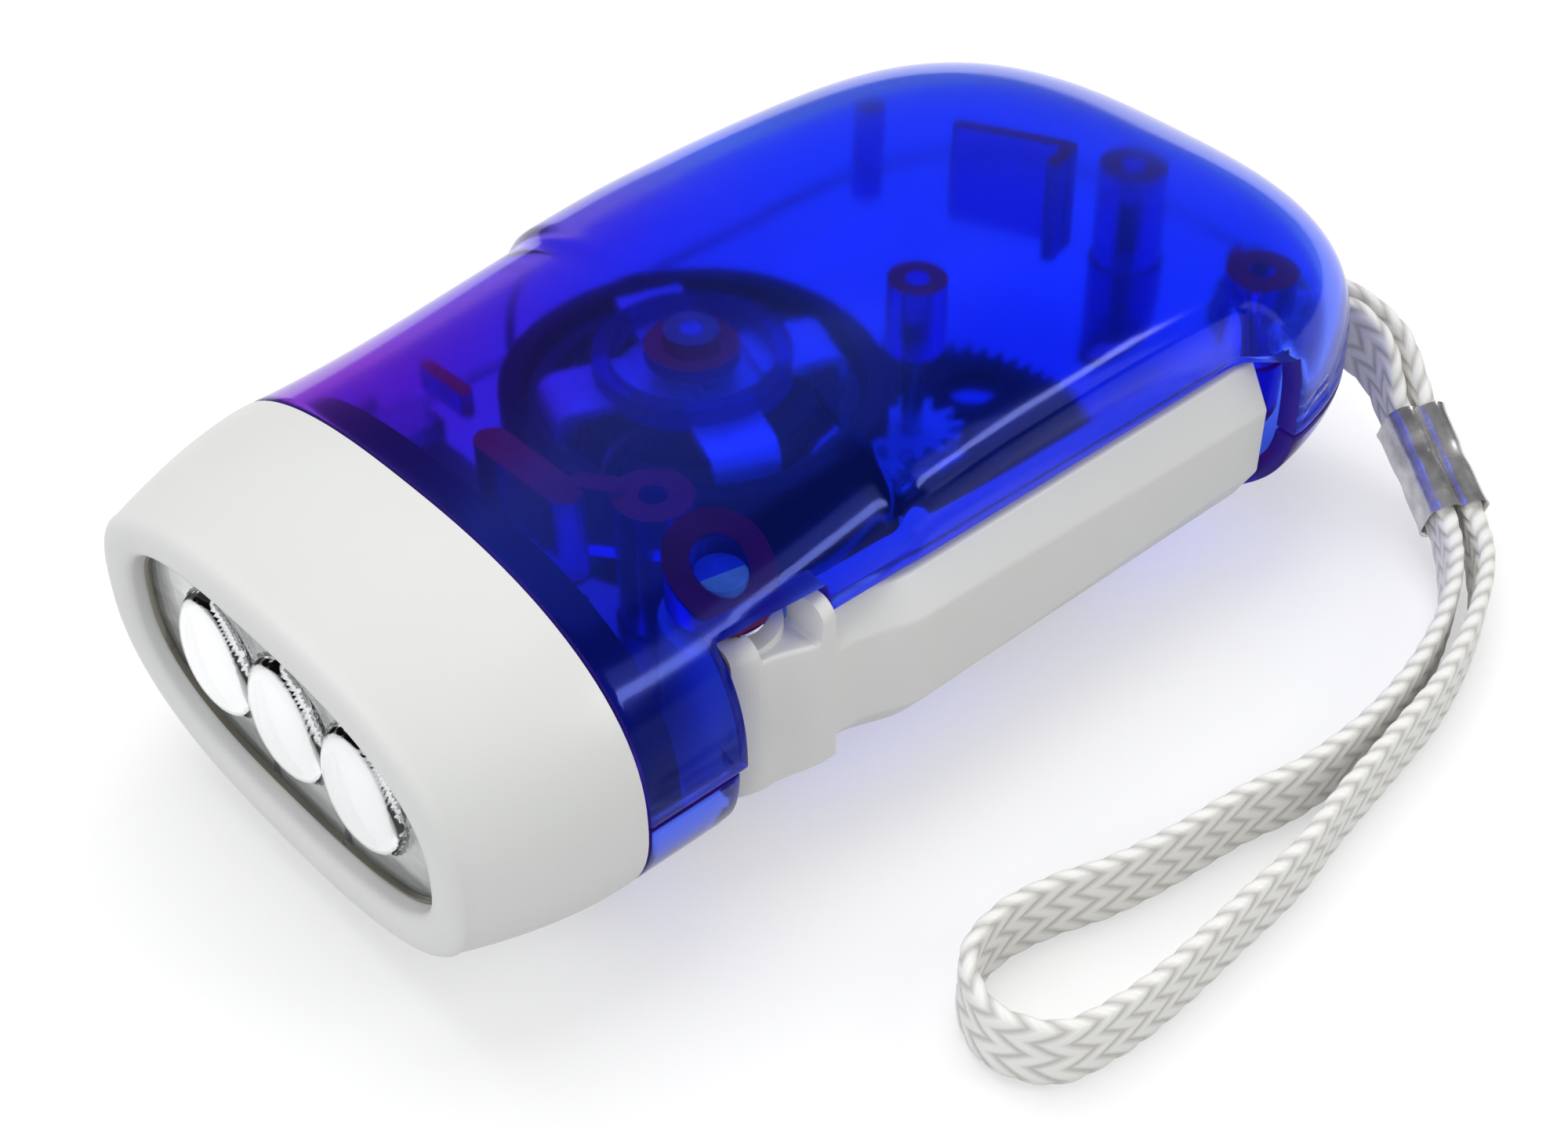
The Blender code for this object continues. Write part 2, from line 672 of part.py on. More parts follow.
def head_profile():
    """Rings of the head's closed section: outside to the rim, in through the aperture, back inside."""
    deep = junction_y - fit_gap - front_y
    rings = []
    for part in (0.0, 0.25, 0.5, 0.75):
        bow = 1 - part**1.6
        width = front_half_width + (neck_half_width - front_half_width) * bow
        height = front_half_height + (neck_half_height - front_half_height) * bow
        y = junction_y - fit_gap - part * deep
        rings.append(oval(y, width, height, 2.5, height, 2.1 + 0.4 * part))
    rim = ((0.93, 0.3), (0.985, 1.1), (1.0, 2.2), (0.985, 3.1))
    for part, inward in rim:
        y = junction_y - fit_gap - part * deep
        width, height = front_half_width - inward * mm, front_half_height - inward * mm
        rings.append(oval(y, width, height, 2.55))
    edge = 0.1 * mm
    rings.append(oval(front_y + 1.0 * mm, aperture_half_width + edge, aperture_half_height + edge, 2.7))
    lip_y = front_y + lip_depth
    rings.append(oval(lip_y, aperture_half_width, aperture_half_height, 2.7))
    seat = 1.7 * mm
    rings.append(oval(lip_y, aperture_half_width + seat, aperture_half_height + seat, 2.7))
    rings.append(oval(lip_y + 2.2 * mm, aperture_half_width + seat, aperture_half_height + seat, 2.7))
    spigot_width = neck_half_width - wall - fit_gap
    spigot_height = neck_half_height - wall - fit_gap
    bore_width = spigot_width - spigot_wall
    bore_height = spigot_height - spigot_wall
    rings.append(oval(junction_y - 4 * mm, bore_width, bore_height, 2.5, bore_height, 2.1))
    rings.append(oval(junction_y + spigot_length, bore_width, bore_height, 2.5, bore_height, 2.1))
    rings.append(oval(junction_y + spigot_length, spigot_width, spigot_height, 2.5, spigot_height, 2.1))
    rings.append(oval(junction_y - fit_gap, spigot_width, spigot_height, 2.5, spigot_height, 2.1))
    return rings


head_shell = loft("head_shell", head_profile(), grey_plastic, closed=True)

window_width, window_height = aperture_half_width + 1.4 * mm, aperture_half_height + 1.4 * mm
window_rings = [oval(y, window_width, window_height, 2.7) for y in (window_y, window_y + window_thickness)]
window = loft("lens_window", window_rings, clear_plastic)
for index in (-1, 0, 1):
    bm = bmesh.new()
    bmesh.ops.create_uvsphere(bm, u_segments=20, v_segments=12, radius=1.0)
    bmesh.ops.scale(bm, vec=(bulge_radius, bulge_rise + 0.5 * mm, bulge_radius), verts=bm.verts)
    bulge = to_object(f"bulge_{index + 1}", bm)
    bulge.location = (index * led_pitch, window_y + 0.5 * mm, seam_z)
    cut(window, bulge, "UNION")
window_back_y = window_y + window_thickness
bulge_trim = box("bulge_trim", (-60 * mm, window_back_y, 0), (60 * mm, window_back_y + 20 * mm, 60 * mm))
cut(window, bulge_trim)

reflector = loft(
    "reflector",
    [
        oval(reflector_y, aperture_half_width + 1.2 * mm, aperture_half_height + 1.2 * mm, 2.7),
        oval(reflector_y + 1.2 * mm, aperture_half_width + 1.2 * mm, aperture_half_height + 1.2 * mm, 2.7),
        oval(reflector_y + 1.2 * mm, aperture_half_width - 2 * mm, aperture_half_height - 2.2 * mm, 2.7),
        oval(reflector_y + cup_depth, aperture_half_width - 3.5 * mm, aperture_half_height - 3.4 * mm, 2.7),
    ],
    chrome,
)
lamp_turn = (math.radians(90), 0, 0)
for index in (-1, 0, 1):
    cup = turned(
        f"cup_{index + 1}",
        [
            (0.0, 1.0 * mm),
            (bulge_radius - 0.1 * mm, 1.0 * mm),
            (bulge_radius - 0.15 * mm, -0.8 * mm),
            (4.1 * mm, -2.6 * mm),
            (3.3 * mm, -4.4 * mm),
            (led_radius + fit_gap, -5.4 * mm),
            (led_radius + fit_gap, -9.0 * mm),
            (0.0, -9.0 * mm),
        ],
        sides=20,
        closed=False,
    )
    cup.rotation_euler = lamp_turn
    cup.location = (index * led_pitch, reflector_y, seam_z)
    cut(reflector, cup)
print("head made")

led_flange = led_radius + 0.35 * mm
led_profile = []
for turn in (0, 0.4, 0.8, 1.2, math.pi / 2):
    height = led_length - led_radius + led_radius * math.cos(turn)
    led_profile.append((led_radius * math.sin(turn), height))
led_profile += [(led_radius, 0.9 * mm), (led_flange, 0.9 * mm), (led_flange, 0.0), (0.0, 0.0)]
for name, index in (("led_left", -1), ("led_middle", 0), ("led_right", 1)):
    led = turned(name, led_profile, clear_plastic, 16, closed=False)
    led.rotation_euler = lamp_turn
    led.location = (index * led_pitch, lamp_board_y - fit_gap, seam_z)

lamp_board_half_width = led_pitch + 7.7 * mm
lamp_board_half_height = 5.2 * mm
lamp_board_back_y = lamp_board_y + board_thickness
box(
    "lamp_board",
    (-lamp_board_half_width, lamp_board_y, seam_z - lamp_board_half_height),
    (lamp_board_half_width, lamp_board_back_y, seam_z + lamp_board_half_height),
    board_green,
)
box(
    "circuit_board",
    (board_low_x, board_front_y, board_z),
    (board_high_x, board_back_y, board_z + board_thickness),
    board_green,
)

for index in range(cell_count):
    name = f"charge_cell_{index + 1}"
    cell = turned(
        name,
        [
            (0.0, cell_height),
            (cell_radius - 0.6 * mm, cell_height),
            (cell_radius, cell_height - 0.6 * mm),
            (cell_radius, 0.6 * mm),
            (cell_radius - 0.6 * mm, 0.0),
            (0.0, 0.0),
        ],
        cell_wrap,
        24,
        closed=False,
    )
    cell.rotation_euler = (0, math.radians(90), 0)
    cell.location = (cell_x + index * (cell_height + fit_gap), cell_y, cell_z)

box(
    "slide_switch",
    (-neck_half_width + wall + 0.6 * mm, switch_y - switch_length / 2, switch_z),
    (switch_x + 2.4 * mm, switch_y + switch_length / 2, switch_z + switch_height),
    steel,
)
button = box(
    "slide_button",
    (-neck_half_width - 1.7 * mm, button_y - button_length / 2, seam_z - button_half_height),
    (-neck_half_width - fit_gap, button_y + button_length / 2, seam_z + button_half_height),
    grey_plastic,
)
stem = box(
    "button_stem",
    (-neck_half_width - 1.0 * mm, button_y - 1.6 * mm, seam_z - 1.1 * mm),
    (-neck_half_width + wall + 0.3 * mm, button_y + 1.6 * mm, seam_z + 1.1 * mm),
)
cut(button, stem, "UNION")
soften = button.modifiers.new("soft_edges", "BEVEL")
soften.width = 0.4 * mm
soften.segments = 2
soften.limit_method = "ANGLE"
print("lamp, cells and switch made")


def tooth_outline(teeth, module, start_deg=0.0, count=None, addendum=0.85, dedendum=1.15):
    """Gear outline with straight flanked teeth; one tooth's middle stands at start_deg."""
    pitch = teeth * module / 2
    tip, root = pitch + addendum * module, pitch - dedendum * module
    step = 2 * math.pi / teeth
    outline = []
    for index in range(teeth if count is None else count):
        middle = math.radians(start_deg) + index * step
        for radius, turn in ((root, -0.29), (tip, -0.12), (tip, 0.12), (root, 0.29)):
            angle = middle + turn * step
            outline.append((radius * math.cos(angle), radius * math.sin(angle)))
    return outline


def move(outline, place_at):
    return [(x + place_at[0], y + place_at[1]) for x, y in outline]


# The lever's sector meets the drive pinion on this line, and the gear meets the rotor pinion on that
to_gear = Vector((gear_x - pivot_x, gear_y - pivot_y))
mesh_deg = math.degrees(math.atan2(to_gear.y, to_gear.x))
sector_pitch_deg = 360.0 / sector_teeth
teeth_before = 1
teeth_after = 8


def make_lever():
    """Channel shaped arm, neck, hub, ears and toothed sector, joined in one piece."""
    neck_y = -20.0 * mm
    sections = []
    for y, x_face, half in (
        (-24.6 * mm, 25.2 * mm, lever_face_half_front + 1.0 * mm),
        (neck_y, 25.6 * mm, lever_face_half_front + 0.5 * mm),
        (-16.6 * mm, lever_face_x, lever_face_half_front),
        (lever_tail_y, lever_face_x, lever_face_half_tail),
    ):
        slope_x = x_face - 2.2 * mm
        back = lever_back_x
        sections.append(
            [
                Vector((back, y, seam_z - lever_side_half)),
                Vector((slope_x, y, seam_z - lever_side_half)),
                Vector((x_face, y, seam_z - half)),
                Vector((x_face, y, seam_z + half)),
                Vector((slope_x, y, seam_z + lever_side_half)),
                Vector((back, y, seam_z + lever_side_half)),
            ]
        )
    lever = loft("lever", sections, grey_plastic)
    inside = []
    for y, x_face, half in (
        (neck_y + 1.5 * mm, 25.6 * mm, lever_face_half_front),
        (-15.5 * mm, lever_face_x, lever_face_half_front),
        (lever_tail_y - lever_wall, lever_face_x, lever_face_half_tail),
    ):
        slope_x = x_face - 2.2 * mm - 0.5 * mm
        inner = lever_side_half - lever_wall
        face = x_face - lever_wall
        inside.append(
            [
                Vector((lever_back_x - 5 * mm, y, seam_z - inner)),
                Vector((slope_x, y, seam_z - inner)),
                Vector((face, y, seam_z - half + 0.8 * mm)),
                Vector((face, y, seam_z + half - 0.8 * mm)),
                Vector((slope_x, y, seam_z + inner)),
                Vector((lever_back_x - 5 * mm, y, seam_z + inner)),
            ]
        )
    channel = loft("lever_channel", inside)
    cut(lever, channel)
    hub_foot, hub_top = seam_z - hub_half_height, seam_z + hub_half_height
    hub = rod("lever_hub", pivot_place, hub_foot, hub_top, hub_radius, sides=28)
    cut(lever, hub, "UNION")
    neck_outline = [
        (pivot_x + 1.5 * mm, pivot_y + 1 * mm),
        (pivot_x + 5.2 * mm, pivot_y + 1 * mm),
        (pivot_x + 5.6 * mm, pivot_y + 6 * mm),
        (pivot_x + 5.2 * mm, pivot_y + 12 * mm),
        (lever_back_x, pivot_y + 12 * mm),
        (pivot_x - 1 * mm, pivot_y + 5 * mm),
    ]
    neck_half = lever_side_half - 0.35 * mm
    neck = flat_piece("lever_neck", [neck_outline], seam_z - neck_half, 2 * neck_half)
    cut(lever, neck, "UNION")
    for name, low_y, high_y, face in (
        ("lever_ear_front", -30.4 * mm, -28.5 * mm, 24.3 * mm),
        ("lever_ear_back", -23.7 * mm, -22.3 * mm, 25.6 * mm),
    ):
        ear = box(name, (22.8 * mm, low_y, ear_foot_z), (face, high_y, seam_z + ear_height))
        cut(lever, ear, "UNION")
    first = mesh_deg - teeth_before * sector_pitch_deg + sector_pitch_deg / 2
    count = teeth_before + teeth_after
    teeth = tooth_outline(sector_teeth, drive_module, first, count)
    rim_inner = sector_radius - 3.2 * mm
    last = first + (count - 1) * sector_pitch_deg
    web_low, web_high = 96.0, 130.0
    waist = 9 * mm
    outline = teeth
    outline += arc(rim_inner, last + 1.2, web_high, 3)
    outline += [polar(waist, web_high + 14)]
    outline += arc(hub_radius - 2 * mm, web_high + 20, web_low - 30, 4)
    outline += [polar(waist, web_low - 8)]
    outline += arc(rim_inner, web_low, first - 3.0, 3)
    web_middle = (web_low + web_high) / 2
    hole_in = circle(*polar(16 * mm, web_middle), 3.4 * mm, 14)
    hole_out = circle(*polar(26 * mm, web_middle), 4.6 * mm, 16)
    loops = [move(loop, pivot_place) for loop in (outline, hole_in, hole_out)]
    web = flat_piece("lever_sector", loops, sector_z, sector_thickness)
    cut(lever, web, "UNION")
    far = 20 * mm
    cut(lever, rod("lever_bore", pivot_place, seam_z - far, seam_z + far, pin_bore, sides=20))
    room = spring_coil + spring_wire + fit_gap
    cut(lever, rod("spring_room", pivot_place, spring_foot_z - fit_gap, seam_z + far, room, sides=20))
    return lever


spring_wire = 0.4 * mm
spring_coil = pin_radius + fit_gap + spring_wire
spring_turns = 3
coil_pitch = 2 * spring_wire + fit_gap
spring_leg_z = seam_z + hub_half_height + fit_gap + spring_wire
spring_foot_z = spring_leg_z - spring_turns * coil_pitch - spring_wire

make_lever()
rod("lever_pin", pivot_place, pin_foot_z, pin_top_z, pin_radius, steel, 20)

coil_steps = 12
spring_points = [Vector((pivot_x - 5.6 * mm, pivot_y + spring_coil, spring_leg_z))]
for index in range(spring_turns * coil_steps + 1):
    turn = math.pi / 2 - 2 * math.pi * index / coil_steps
    height = spring_leg_z - coil_pitch * index / coil_steps
    x = pivot_x + spring_coil * math.cos(turn)
    y = pivot_y + spring_coil * math.sin(turn)
    spring_points.append(Vector((x, y, height)))
wire("return_spring", spring_points, spring_wire, steel)

# Drive gear, its shaft, ratchet pawls and pinion
ratchet_radius = 6.4 * mm
ratchet_teeth = 8
ratchet = []
for index in range(ratchet_teeth):
    angle = 360 / ratchet_teeth * index
    ratchet.append(polar(ratchet_radius, angle))
    ratchet.append(polar(ratchet_radius + 1.2 * mm, angle + 3.4))
gear_loops = [tooth_outline(gear_teeth, gear_module), circle(0, 0, shaft_bore, 16)]
window_count = 5
for index in range(window_count):
    gear_loops.append(circle(*polar(11.6 * mm, 360 / window_count * index), 2.6 * mm, 14))
drive_gear = flat_piece("drive_gear", gear_loops, 0.0, gear_thickness, nylon)
drive_gear.location = (gear_x, gear_y, gear_bottom_z)
recess = flat_piece("ratchet_recess", [ratchet], 0.0, 3 * mm)
recess.location = (gear_x, gear_y, gear_top_z - pawl_thickness - fit_gap)
cut(drive_gear, recess)
gear_line = math.atan2(rotor_y - gear_y, rotor_x - gear_x)
drive_gear.rotation_euler = (0, 0, gear_line)

pawl_reach = ratchet_radius - 0.35 * mm
pawl_arm = (
    (2.6 * mm, -52),
    (4.6 * mm, -29),
    (5.4 * mm, 0),
    (pawl_reach, 26),
    (pawl_reach - 0.9 * mm, 29),
    (4.0 * mm, 11.5),
    (2.7 * mm, 11.5),
)
pawl_outline = [polar(radius, angle + half) for half in (0, 180) for radius, angle in pawl_arm]
pawl_loops = [pawl_outline, circle(0, 0, shaft_bore, 16)]
pawl = flat_piece("ratchet_pawl", pawl_loops, 0.0, pawl_thickness, nylon)
pawl.location = (gear_x, gear_y, gear_top_z - pawl_thickness)
pinion_line = math.atan2(pivot_y - gear_y, pivot_x - gear_x)
pinion_loops = [tooth_outline(drive_pinion_teeth, drive_module), circle(0, 0, shaft_bore, 16)]
drive_pinion = flat_piece("drive_pinion", pinion_loops, 0.0, sector_thickness + 0.4 * mm, nylon)
drive_pinion.location = (gear_x, gear_y, gear_top_z + fit_gap)
drive_pinion.rotation_euler = (0, 0, pinion_line)
rod("drive_gear_shaft", gear_place, gear_shaft_foot_z, gear_shaft_top_z, shaft_radius, steel, 16)

# Rotor
rotor_loops = [tooth_outline(rotor_pinion_teeth, gear_module), circle(0, 0, shaft_bore, 16)]
rotor_pinion = flat_piece("rotor_pinion", rotor_loops, 0.0, gear_thickness, brass)
rotor_pinion.location = (rotor_x, rotor_y, gear_bottom_z)
rotor_pinion.rotation_euler = (0, 0, gear_line + math.pi + math.pi / rotor_pinion_teeth)
rod("rotor_shaft", rotor_place, bush_foot_z, shaft_top_z, shaft_radius, steel, 16)
sleeve_low = gear_top_z + fit_gap
flywheel = turned(
    "flywheel",
    [
        (core_bore + 0.4 * mm, rotor_z + rotor_floor),
        (rotor_radius - rotor_rim, rotor_z + rotor_floor),
        (rotor_radius - rotor_rim, rotor_top_z),
        (rotor_radius, rotor_top_z),
        (rotor_radius, rotor_z),
        (core_bore + 0.3 * mm, rotor_z),
        (core_bore + 0.3 * mm, sleeve_low),
        (shaft_bore, sleeve_low),
        (shaft_bore, rotor_z + rotor_floor),
    ],
    black_plastic,
    36,
)
flywheel.location = (rotor_x, rotor_y, 0)
magnet = turned(
    "magnet_ring",
    [
        (magnet_radius, rotor_top_z - 0.4 * mm),
        (magnet_radius, rotor_z + rotor_floor + fit_gap),
        (magnet_radius - magnet_thickness + 0.2 * mm, rotor_z + rotor_floor + fit_gap),
        (magnet_radius - magnet_thickness + 0.2 * mm, rotor_top_z - 0.4 * mm),
    ],
    magnet_black,
    36,
)
magnet.location = (rotor_x, rotor_y, 0)
for name, low, high in (
    ("upper_bush", shaft_top_z - bush_length, shaft_top_z),
    ("lower_bush", bush_foot_z, rotor_foot_z),
):
    bush_profile = [(bush_radius, high), (bush_radius, low), (shaft_bore, low), (shaft_bore, high)]
    bush = turned(name, bush_profile, brass, 20)
    bush.location = (rotor_x, rotor_y, 0)


def claw_plate(name, low, upper, start_deg):
    """A round plate with arms whose tips are bent along the shaft."""
    high = low + plate_thickness
    disc_radius = 6.4 * mm
    bore = core_bore + running_gap
    profile = [(disc_radius, high), (disc_radius, low), (bore, low), (bore, high)]
    plate = turned(name, profile, plate_steel, 32)
    plate.location = (rotor_x, rotor_y, 0)
    tip = stator_height - 2 * plate_thickness - 1.6 * mm
    tip_half = claw_width / 2 - 0.3 * mm
    tip_low, tip_high = (low - tip, low + 0.2 * mm) if upper else (high - 0.2 * mm, high + tip)
    tip_in, tip_out = claw_radius - plate_thickness, claw_radius - 0.02 * mm
    for index in range(claw_count):
        arm_low = (disc_radius - 1.4 * mm, -claw_width / 2, low)
        arm = box(f"{name}_arm_{index}", arm_low, (claw_radius, claw_width / 2, high))
        claw = box(f"{name}_tip_{index}", (tip_in, -tip_half, tip_low), (tip_out, tip_half, tip_high))
        for piece in (arm, claw):
            piece.location = (rotor_x, rotor_y, 0)
            piece.rotation_euler = (0, 0, math.radians(start_deg + 360 / claw_count * index))
            cut(plate, piece, "UNION")
    return plate


claw_plate("stator_upper_plate", stator_top_z - plate_thickness, True, first_claw_deg)
claw_plate("stator_lower_plate", stator_z, False, first_claw_deg + 45)
core = turned(
    "stator_core",
    [
        (core_bore, stator_top_z + 1.2 * mm),
        (core_bore, stator_z - 0.2 * mm),
        (shaft_radius + 0.4 * mm, stator_z - 0.2 * mm),
        (shaft_radius + 0.4 * mm, stator_top_z + 1.2 * mm),
    ],
    steel,
    20,
)
core.location = (rotor_x, rotor_y, 0)
bobbin_low = stator_z + plate_thickness + fit_gap
bobbin_high = stator_top_z - plate_thickness - fit_gap
bobbin = turned(
    "coil_bobbin",
    [
        (bobbin_radius, bobbin_high),
        (bobbin_radius, bobbin_high - bobbin_flange),
        (core_radius, bobbin_high - bobbin_flange),
        (core_radius, bobbin_low + bobbin_flange),
        (bobbin_radius, bobbin_low + bobbin_flange),
        (bobbin_radius, bobbin_low),
        (core_bore + running_gap, bobbin_low),
        (core_bore + running_gap, bobbin_high),
    ],
    nylon,
    32,
)
bobbin.location = (rotor_x, rotor_y, 0)
winding = turned(
    "coil_winding",
    [
        (bobbin_radius - 0.8 * mm, bobbin_high - bobbin_flange - fit_gap),
        (bobbin_radius - 0.8 * mm, bobbin_low + bobbin_flange + fit_gap),
        (core_radius + fit_gap, bobbin_low + bobbin_flange + fit_gap),
        (core_radius + fit_gap, bobbin_high - bobbin_flange - fit_gap),
    ],
    copper,
    32,
)
winding.location = (rotor_x, rotor_y, 0)
print("generator made")

# Held leads
lead_radius = 0.45 * mm
lead_turn = math.radians(first_claw_deg - 45)
for name, shift, coat in (
    ("coil_lead_left", -0.8 * mm, red_wire),
    ("coil_lead_right", 0.8 * mm, black_plastic),
):
    outward = Vector((math.cos(lead_turn), math.sin(lead_turn), 0))
    sideways = Vector((-outward.y, outward.x, 0)) * shift
    start = Vector((rotor_x, rotor_y, 0)) + outward * 9.3 * mm + sideways
    over = Vector((rotor_x, rotor_y, 0)) + outward * 14.5 * mm + sideways
    end = Vector((0.4 * mm + shift, board_back_y - 0.8 * mm, 0))
    route = [
        start + Vector((0, 0, bobbin_high + fit_gap + lead_radius)),
        start + outward * 1.5 * mm + Vector((0, 0, stator_top_z + 0.4 * mm)),
        over + Vector((0, 0, stator_top_z + 0.6 * mm)),
        over + outward * 3.6 * mm + Vector((0, 0, rotor_top_z - 1.5 * mm)),
        end + Vector((0, 0.6 * mm, board_z + 3.4 * mm)),
        end + Vector((0, 0, board_z + board_thickness + fit_gap)),
    ]
    wire(name, through(route, 3), lead_radius, coat)
for name, x, coat in (
    ("lamp_lead_left", -7 * mm, red_wire),
    ("lamp_lead_right", -3 * mm, black_plastic),
):
    foot_y = board_front_y + 1.4 * mm
    route = [
        Vector((x, foot_y, board_z + board_thickness + fit_gap)),
        Vector((x, foot_y - 0.4 * mm, board_z + 3.0 * mm)),
        Vector((x, foot_y - 2.2 * mm, board_z + 3.4 * mm)),
        Vector((x, lamp_board_back_y + 2 * fit_gap, seam_z + 3.0 * mm)),
    ]
    wire(name, through(route, 3), lead_radius, coat)

# Case screws
for index, at in enumerate(screw_places):
    head_low = screw_seat_z - fit_gap - screw_head_height
    screw = turned(
        f"case_screw_{index + 1}",
        [
            (0.0, seam_z + 7.0 * mm),
            (screw_radius - 0.2 * mm, seam_z + 6.6 * mm),
            (screw_radius, seam_z + 5.6 * mm),
            (screw_radius, screw_seat_z - fit_gap),
            (screw_head_radius, screw_seat_z - fit_gap),
            (screw_head_radius, head_low + 0.4 * mm),
            (screw_head_radius - 0.5 * mm, head_low),
            (0.0, head_low),
        ],
        steel,
        18,
        closed=False,
    )
    screw.location = (at[0], at[1], 0)
    for part_index, turn in enumerate((0, math.pi / 2)):
        slot_low = (-1.5 * mm, -0.3 * mm, head_low - 1 * mm)
        slot_high = (1.5 * mm, 0.3 * mm, head_low + 0.8 * mm)
        slot = box(f"screw_slot_{index}_{part_index}", slot_low, slot_high)
        slot.location = (at[0], at[1], 0)
        slot.rotation_euler = (0, 0, turn)
        cut(screw, slot)
print("screws made")

# Wrist strap: a flat tape on edge, round the bar in the tail, through the ferrule and round its loop
strap_route = (
    (12.0, 39.4, 15.0),
    (13.5, 39.3, 15.0),
    (14.8, 40.1, 15.0),
    (17.3, 44.3, 15.0),
    (19.9, 47.3, 14.4),
    (23.8, 48.3, 11.8),
    (28.2, 46.7, 8.2),
    (32.7, 44.3, 6.1),
    (37.2, 42.1, 4.5),
    (41.7, 37.6, 3.5),
    (45.1, 31.6, 3.5),
    (47.8, 23.7, 3.5),
    (49.1, 15.5, 3.5),
    (49.0, 7.4, 3.5),
    (47.8, 1.3, 3.5),
    (47.0, -5.7, 3.5),
    (45.9, -11.7, 3.5),
    (44.1, -17.1, 3.5),
    (43.4, -22.0, 3.5),
    (44.8, -26.7, 3.5),
    (49.4, -28.9, 3.5),
    (53.8, -26.7, 3.5),
    (55.2, -21.7, 3.5),
    (55.4, -15.6, 3.5),
    (54.9, -7.8, 3.5),
    (54.3, 0.3, 3.5),
    (52.9, 7.4, 3.5),
    (51.6, 15.9, 3.5),
    (50.1, 24.5, 3.5),
    (47.2, 32.9, 3.5),
    (43.5, 39.6, 3.5),
    (38.3, 44.5, 4.5),
    (33.9, 46.7, 6.1),
    (29.3, 49.1, 8.2),
    (23.7, 50.8, 11.8),
    (18.3, 49.5, 14.4),
    (14.7, 46.5, 15.0),
    (11.2, 42.9, 15.0),
    (10.7, 41.4, 15.0),
    (11.2, 40.0, 15.0),
)
strap_points = [point * mm for point in through(strap_route, 2)]
strap = wire("wrist_strap", strap_points, tape_thickness / 2, tape_white, 2)
strap.data.extrude = (tape_width - tape_thickness) / 2
strap.data.twist_mode = "Z_UP"
rod("strap_bar", bar_place, bar_low, bar_high, bar_radius, steel, 16)

# Ferrule of two barrels side by side, one round each strand
strand_pitch = 2.6 * mm
barrel_room = tape_thickness / 2 + fit_gap
barrel_out = barrel_room + ferrule_wall
barrel_reach = tape_width / 2 + fit_gap - barrel_room


def barrel(x, radius, sides=12):
    """Outline of one barrel, straight at its sides and round at both ends."""
    outline = []
    for end in (1, -1):
        for index in range(sides // 2 + 1):
            turn = math.pi * 2 * index / sides + (0 if end > 0 else math.pi)
            outline.append((x + radius * math.cos(turn), end * barrel_reach + radius * math.sin(turn)))
    return outline


def ferrule_outline():
    """Both barrels' outer outline, which meets in a groove between them."""
    half_pitch = strand_pitch / 2
    lean = math.acos(half_pitch / barrel_out)
    outline = []
    for side, end in ((1, 1), (-1, 1), (-1, -1), (1, -1)):
        for index in range(6):
            share = index / 5 if side * end > 0 else 1 - index / 5
            turn = share * (math.pi - lean)
            x = half_pitch + barrel_out * math.cos(turn)
            y = barrel_reach + barrel_out * math.sin(turn)
            outline.append((side * x, end * y))
    return outline


ferrule_start = Vector((28.75, 47.9, 8.2)) * mm
ferrule_end = Vector((37.75, 43.3, 4.5)) * mm
ferrule_axis = (ferrule_end - ferrule_start).normalized()
ferrule_side = ferrule_axis.cross(Vector((0, 0, 1))).normalized()
ferrule_up = ferrule_side.cross(ferrule_axis)
ferrule = flat_piece(
    "strap_ferrule",
    [ferrule_outline(), barrel(strand_pitch / 2, barrel_room), barrel(-strand_pitch / 2, barrel_room)],
    0.0,
    (ferrule_end - ferrule_start).length,
    steel,
)
turned_frame = Matrix((ferrule_side, ferrule_up, ferrule_axis)).transposed().to_4x4()
ferrule.matrix_world = Matrix.Translation(ferrule_start) @ turned_frame
print("strap made")
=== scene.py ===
# Squeeze flashlight with a clear blue housing, a pale head and lever, and a braided wrist strap
import math

import bmesh
import bpy
from mathutils import Matrix, Vector


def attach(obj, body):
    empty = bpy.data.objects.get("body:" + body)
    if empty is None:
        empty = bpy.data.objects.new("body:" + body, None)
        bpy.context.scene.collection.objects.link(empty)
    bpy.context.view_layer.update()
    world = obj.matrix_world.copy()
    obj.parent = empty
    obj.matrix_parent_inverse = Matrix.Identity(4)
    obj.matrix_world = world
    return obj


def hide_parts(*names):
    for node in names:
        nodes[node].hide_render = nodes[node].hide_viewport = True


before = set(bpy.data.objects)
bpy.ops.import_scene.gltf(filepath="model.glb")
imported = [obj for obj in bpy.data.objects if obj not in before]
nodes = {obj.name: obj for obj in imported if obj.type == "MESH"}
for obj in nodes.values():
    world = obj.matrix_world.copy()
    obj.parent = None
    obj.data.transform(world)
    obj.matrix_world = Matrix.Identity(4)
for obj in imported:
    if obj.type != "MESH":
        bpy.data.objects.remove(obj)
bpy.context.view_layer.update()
scene = bpy.context.scene
mm = 0.001
seamZ = 16.0  # the two half shells meet here, in mm like every size below
rotorPlace = (-5.0, -10.0)
gearPlace = (2.1589, 8.9424)
pivotPlace = (19.0, -28.0)
screwPlaces = ((9.5, -26.3), (0.3, 39.0), (17.6, 36.2))
lampPitch = 9.8
lampIndexes = (-1, 0, 1)
circle = 2 * math.pi

# Camera

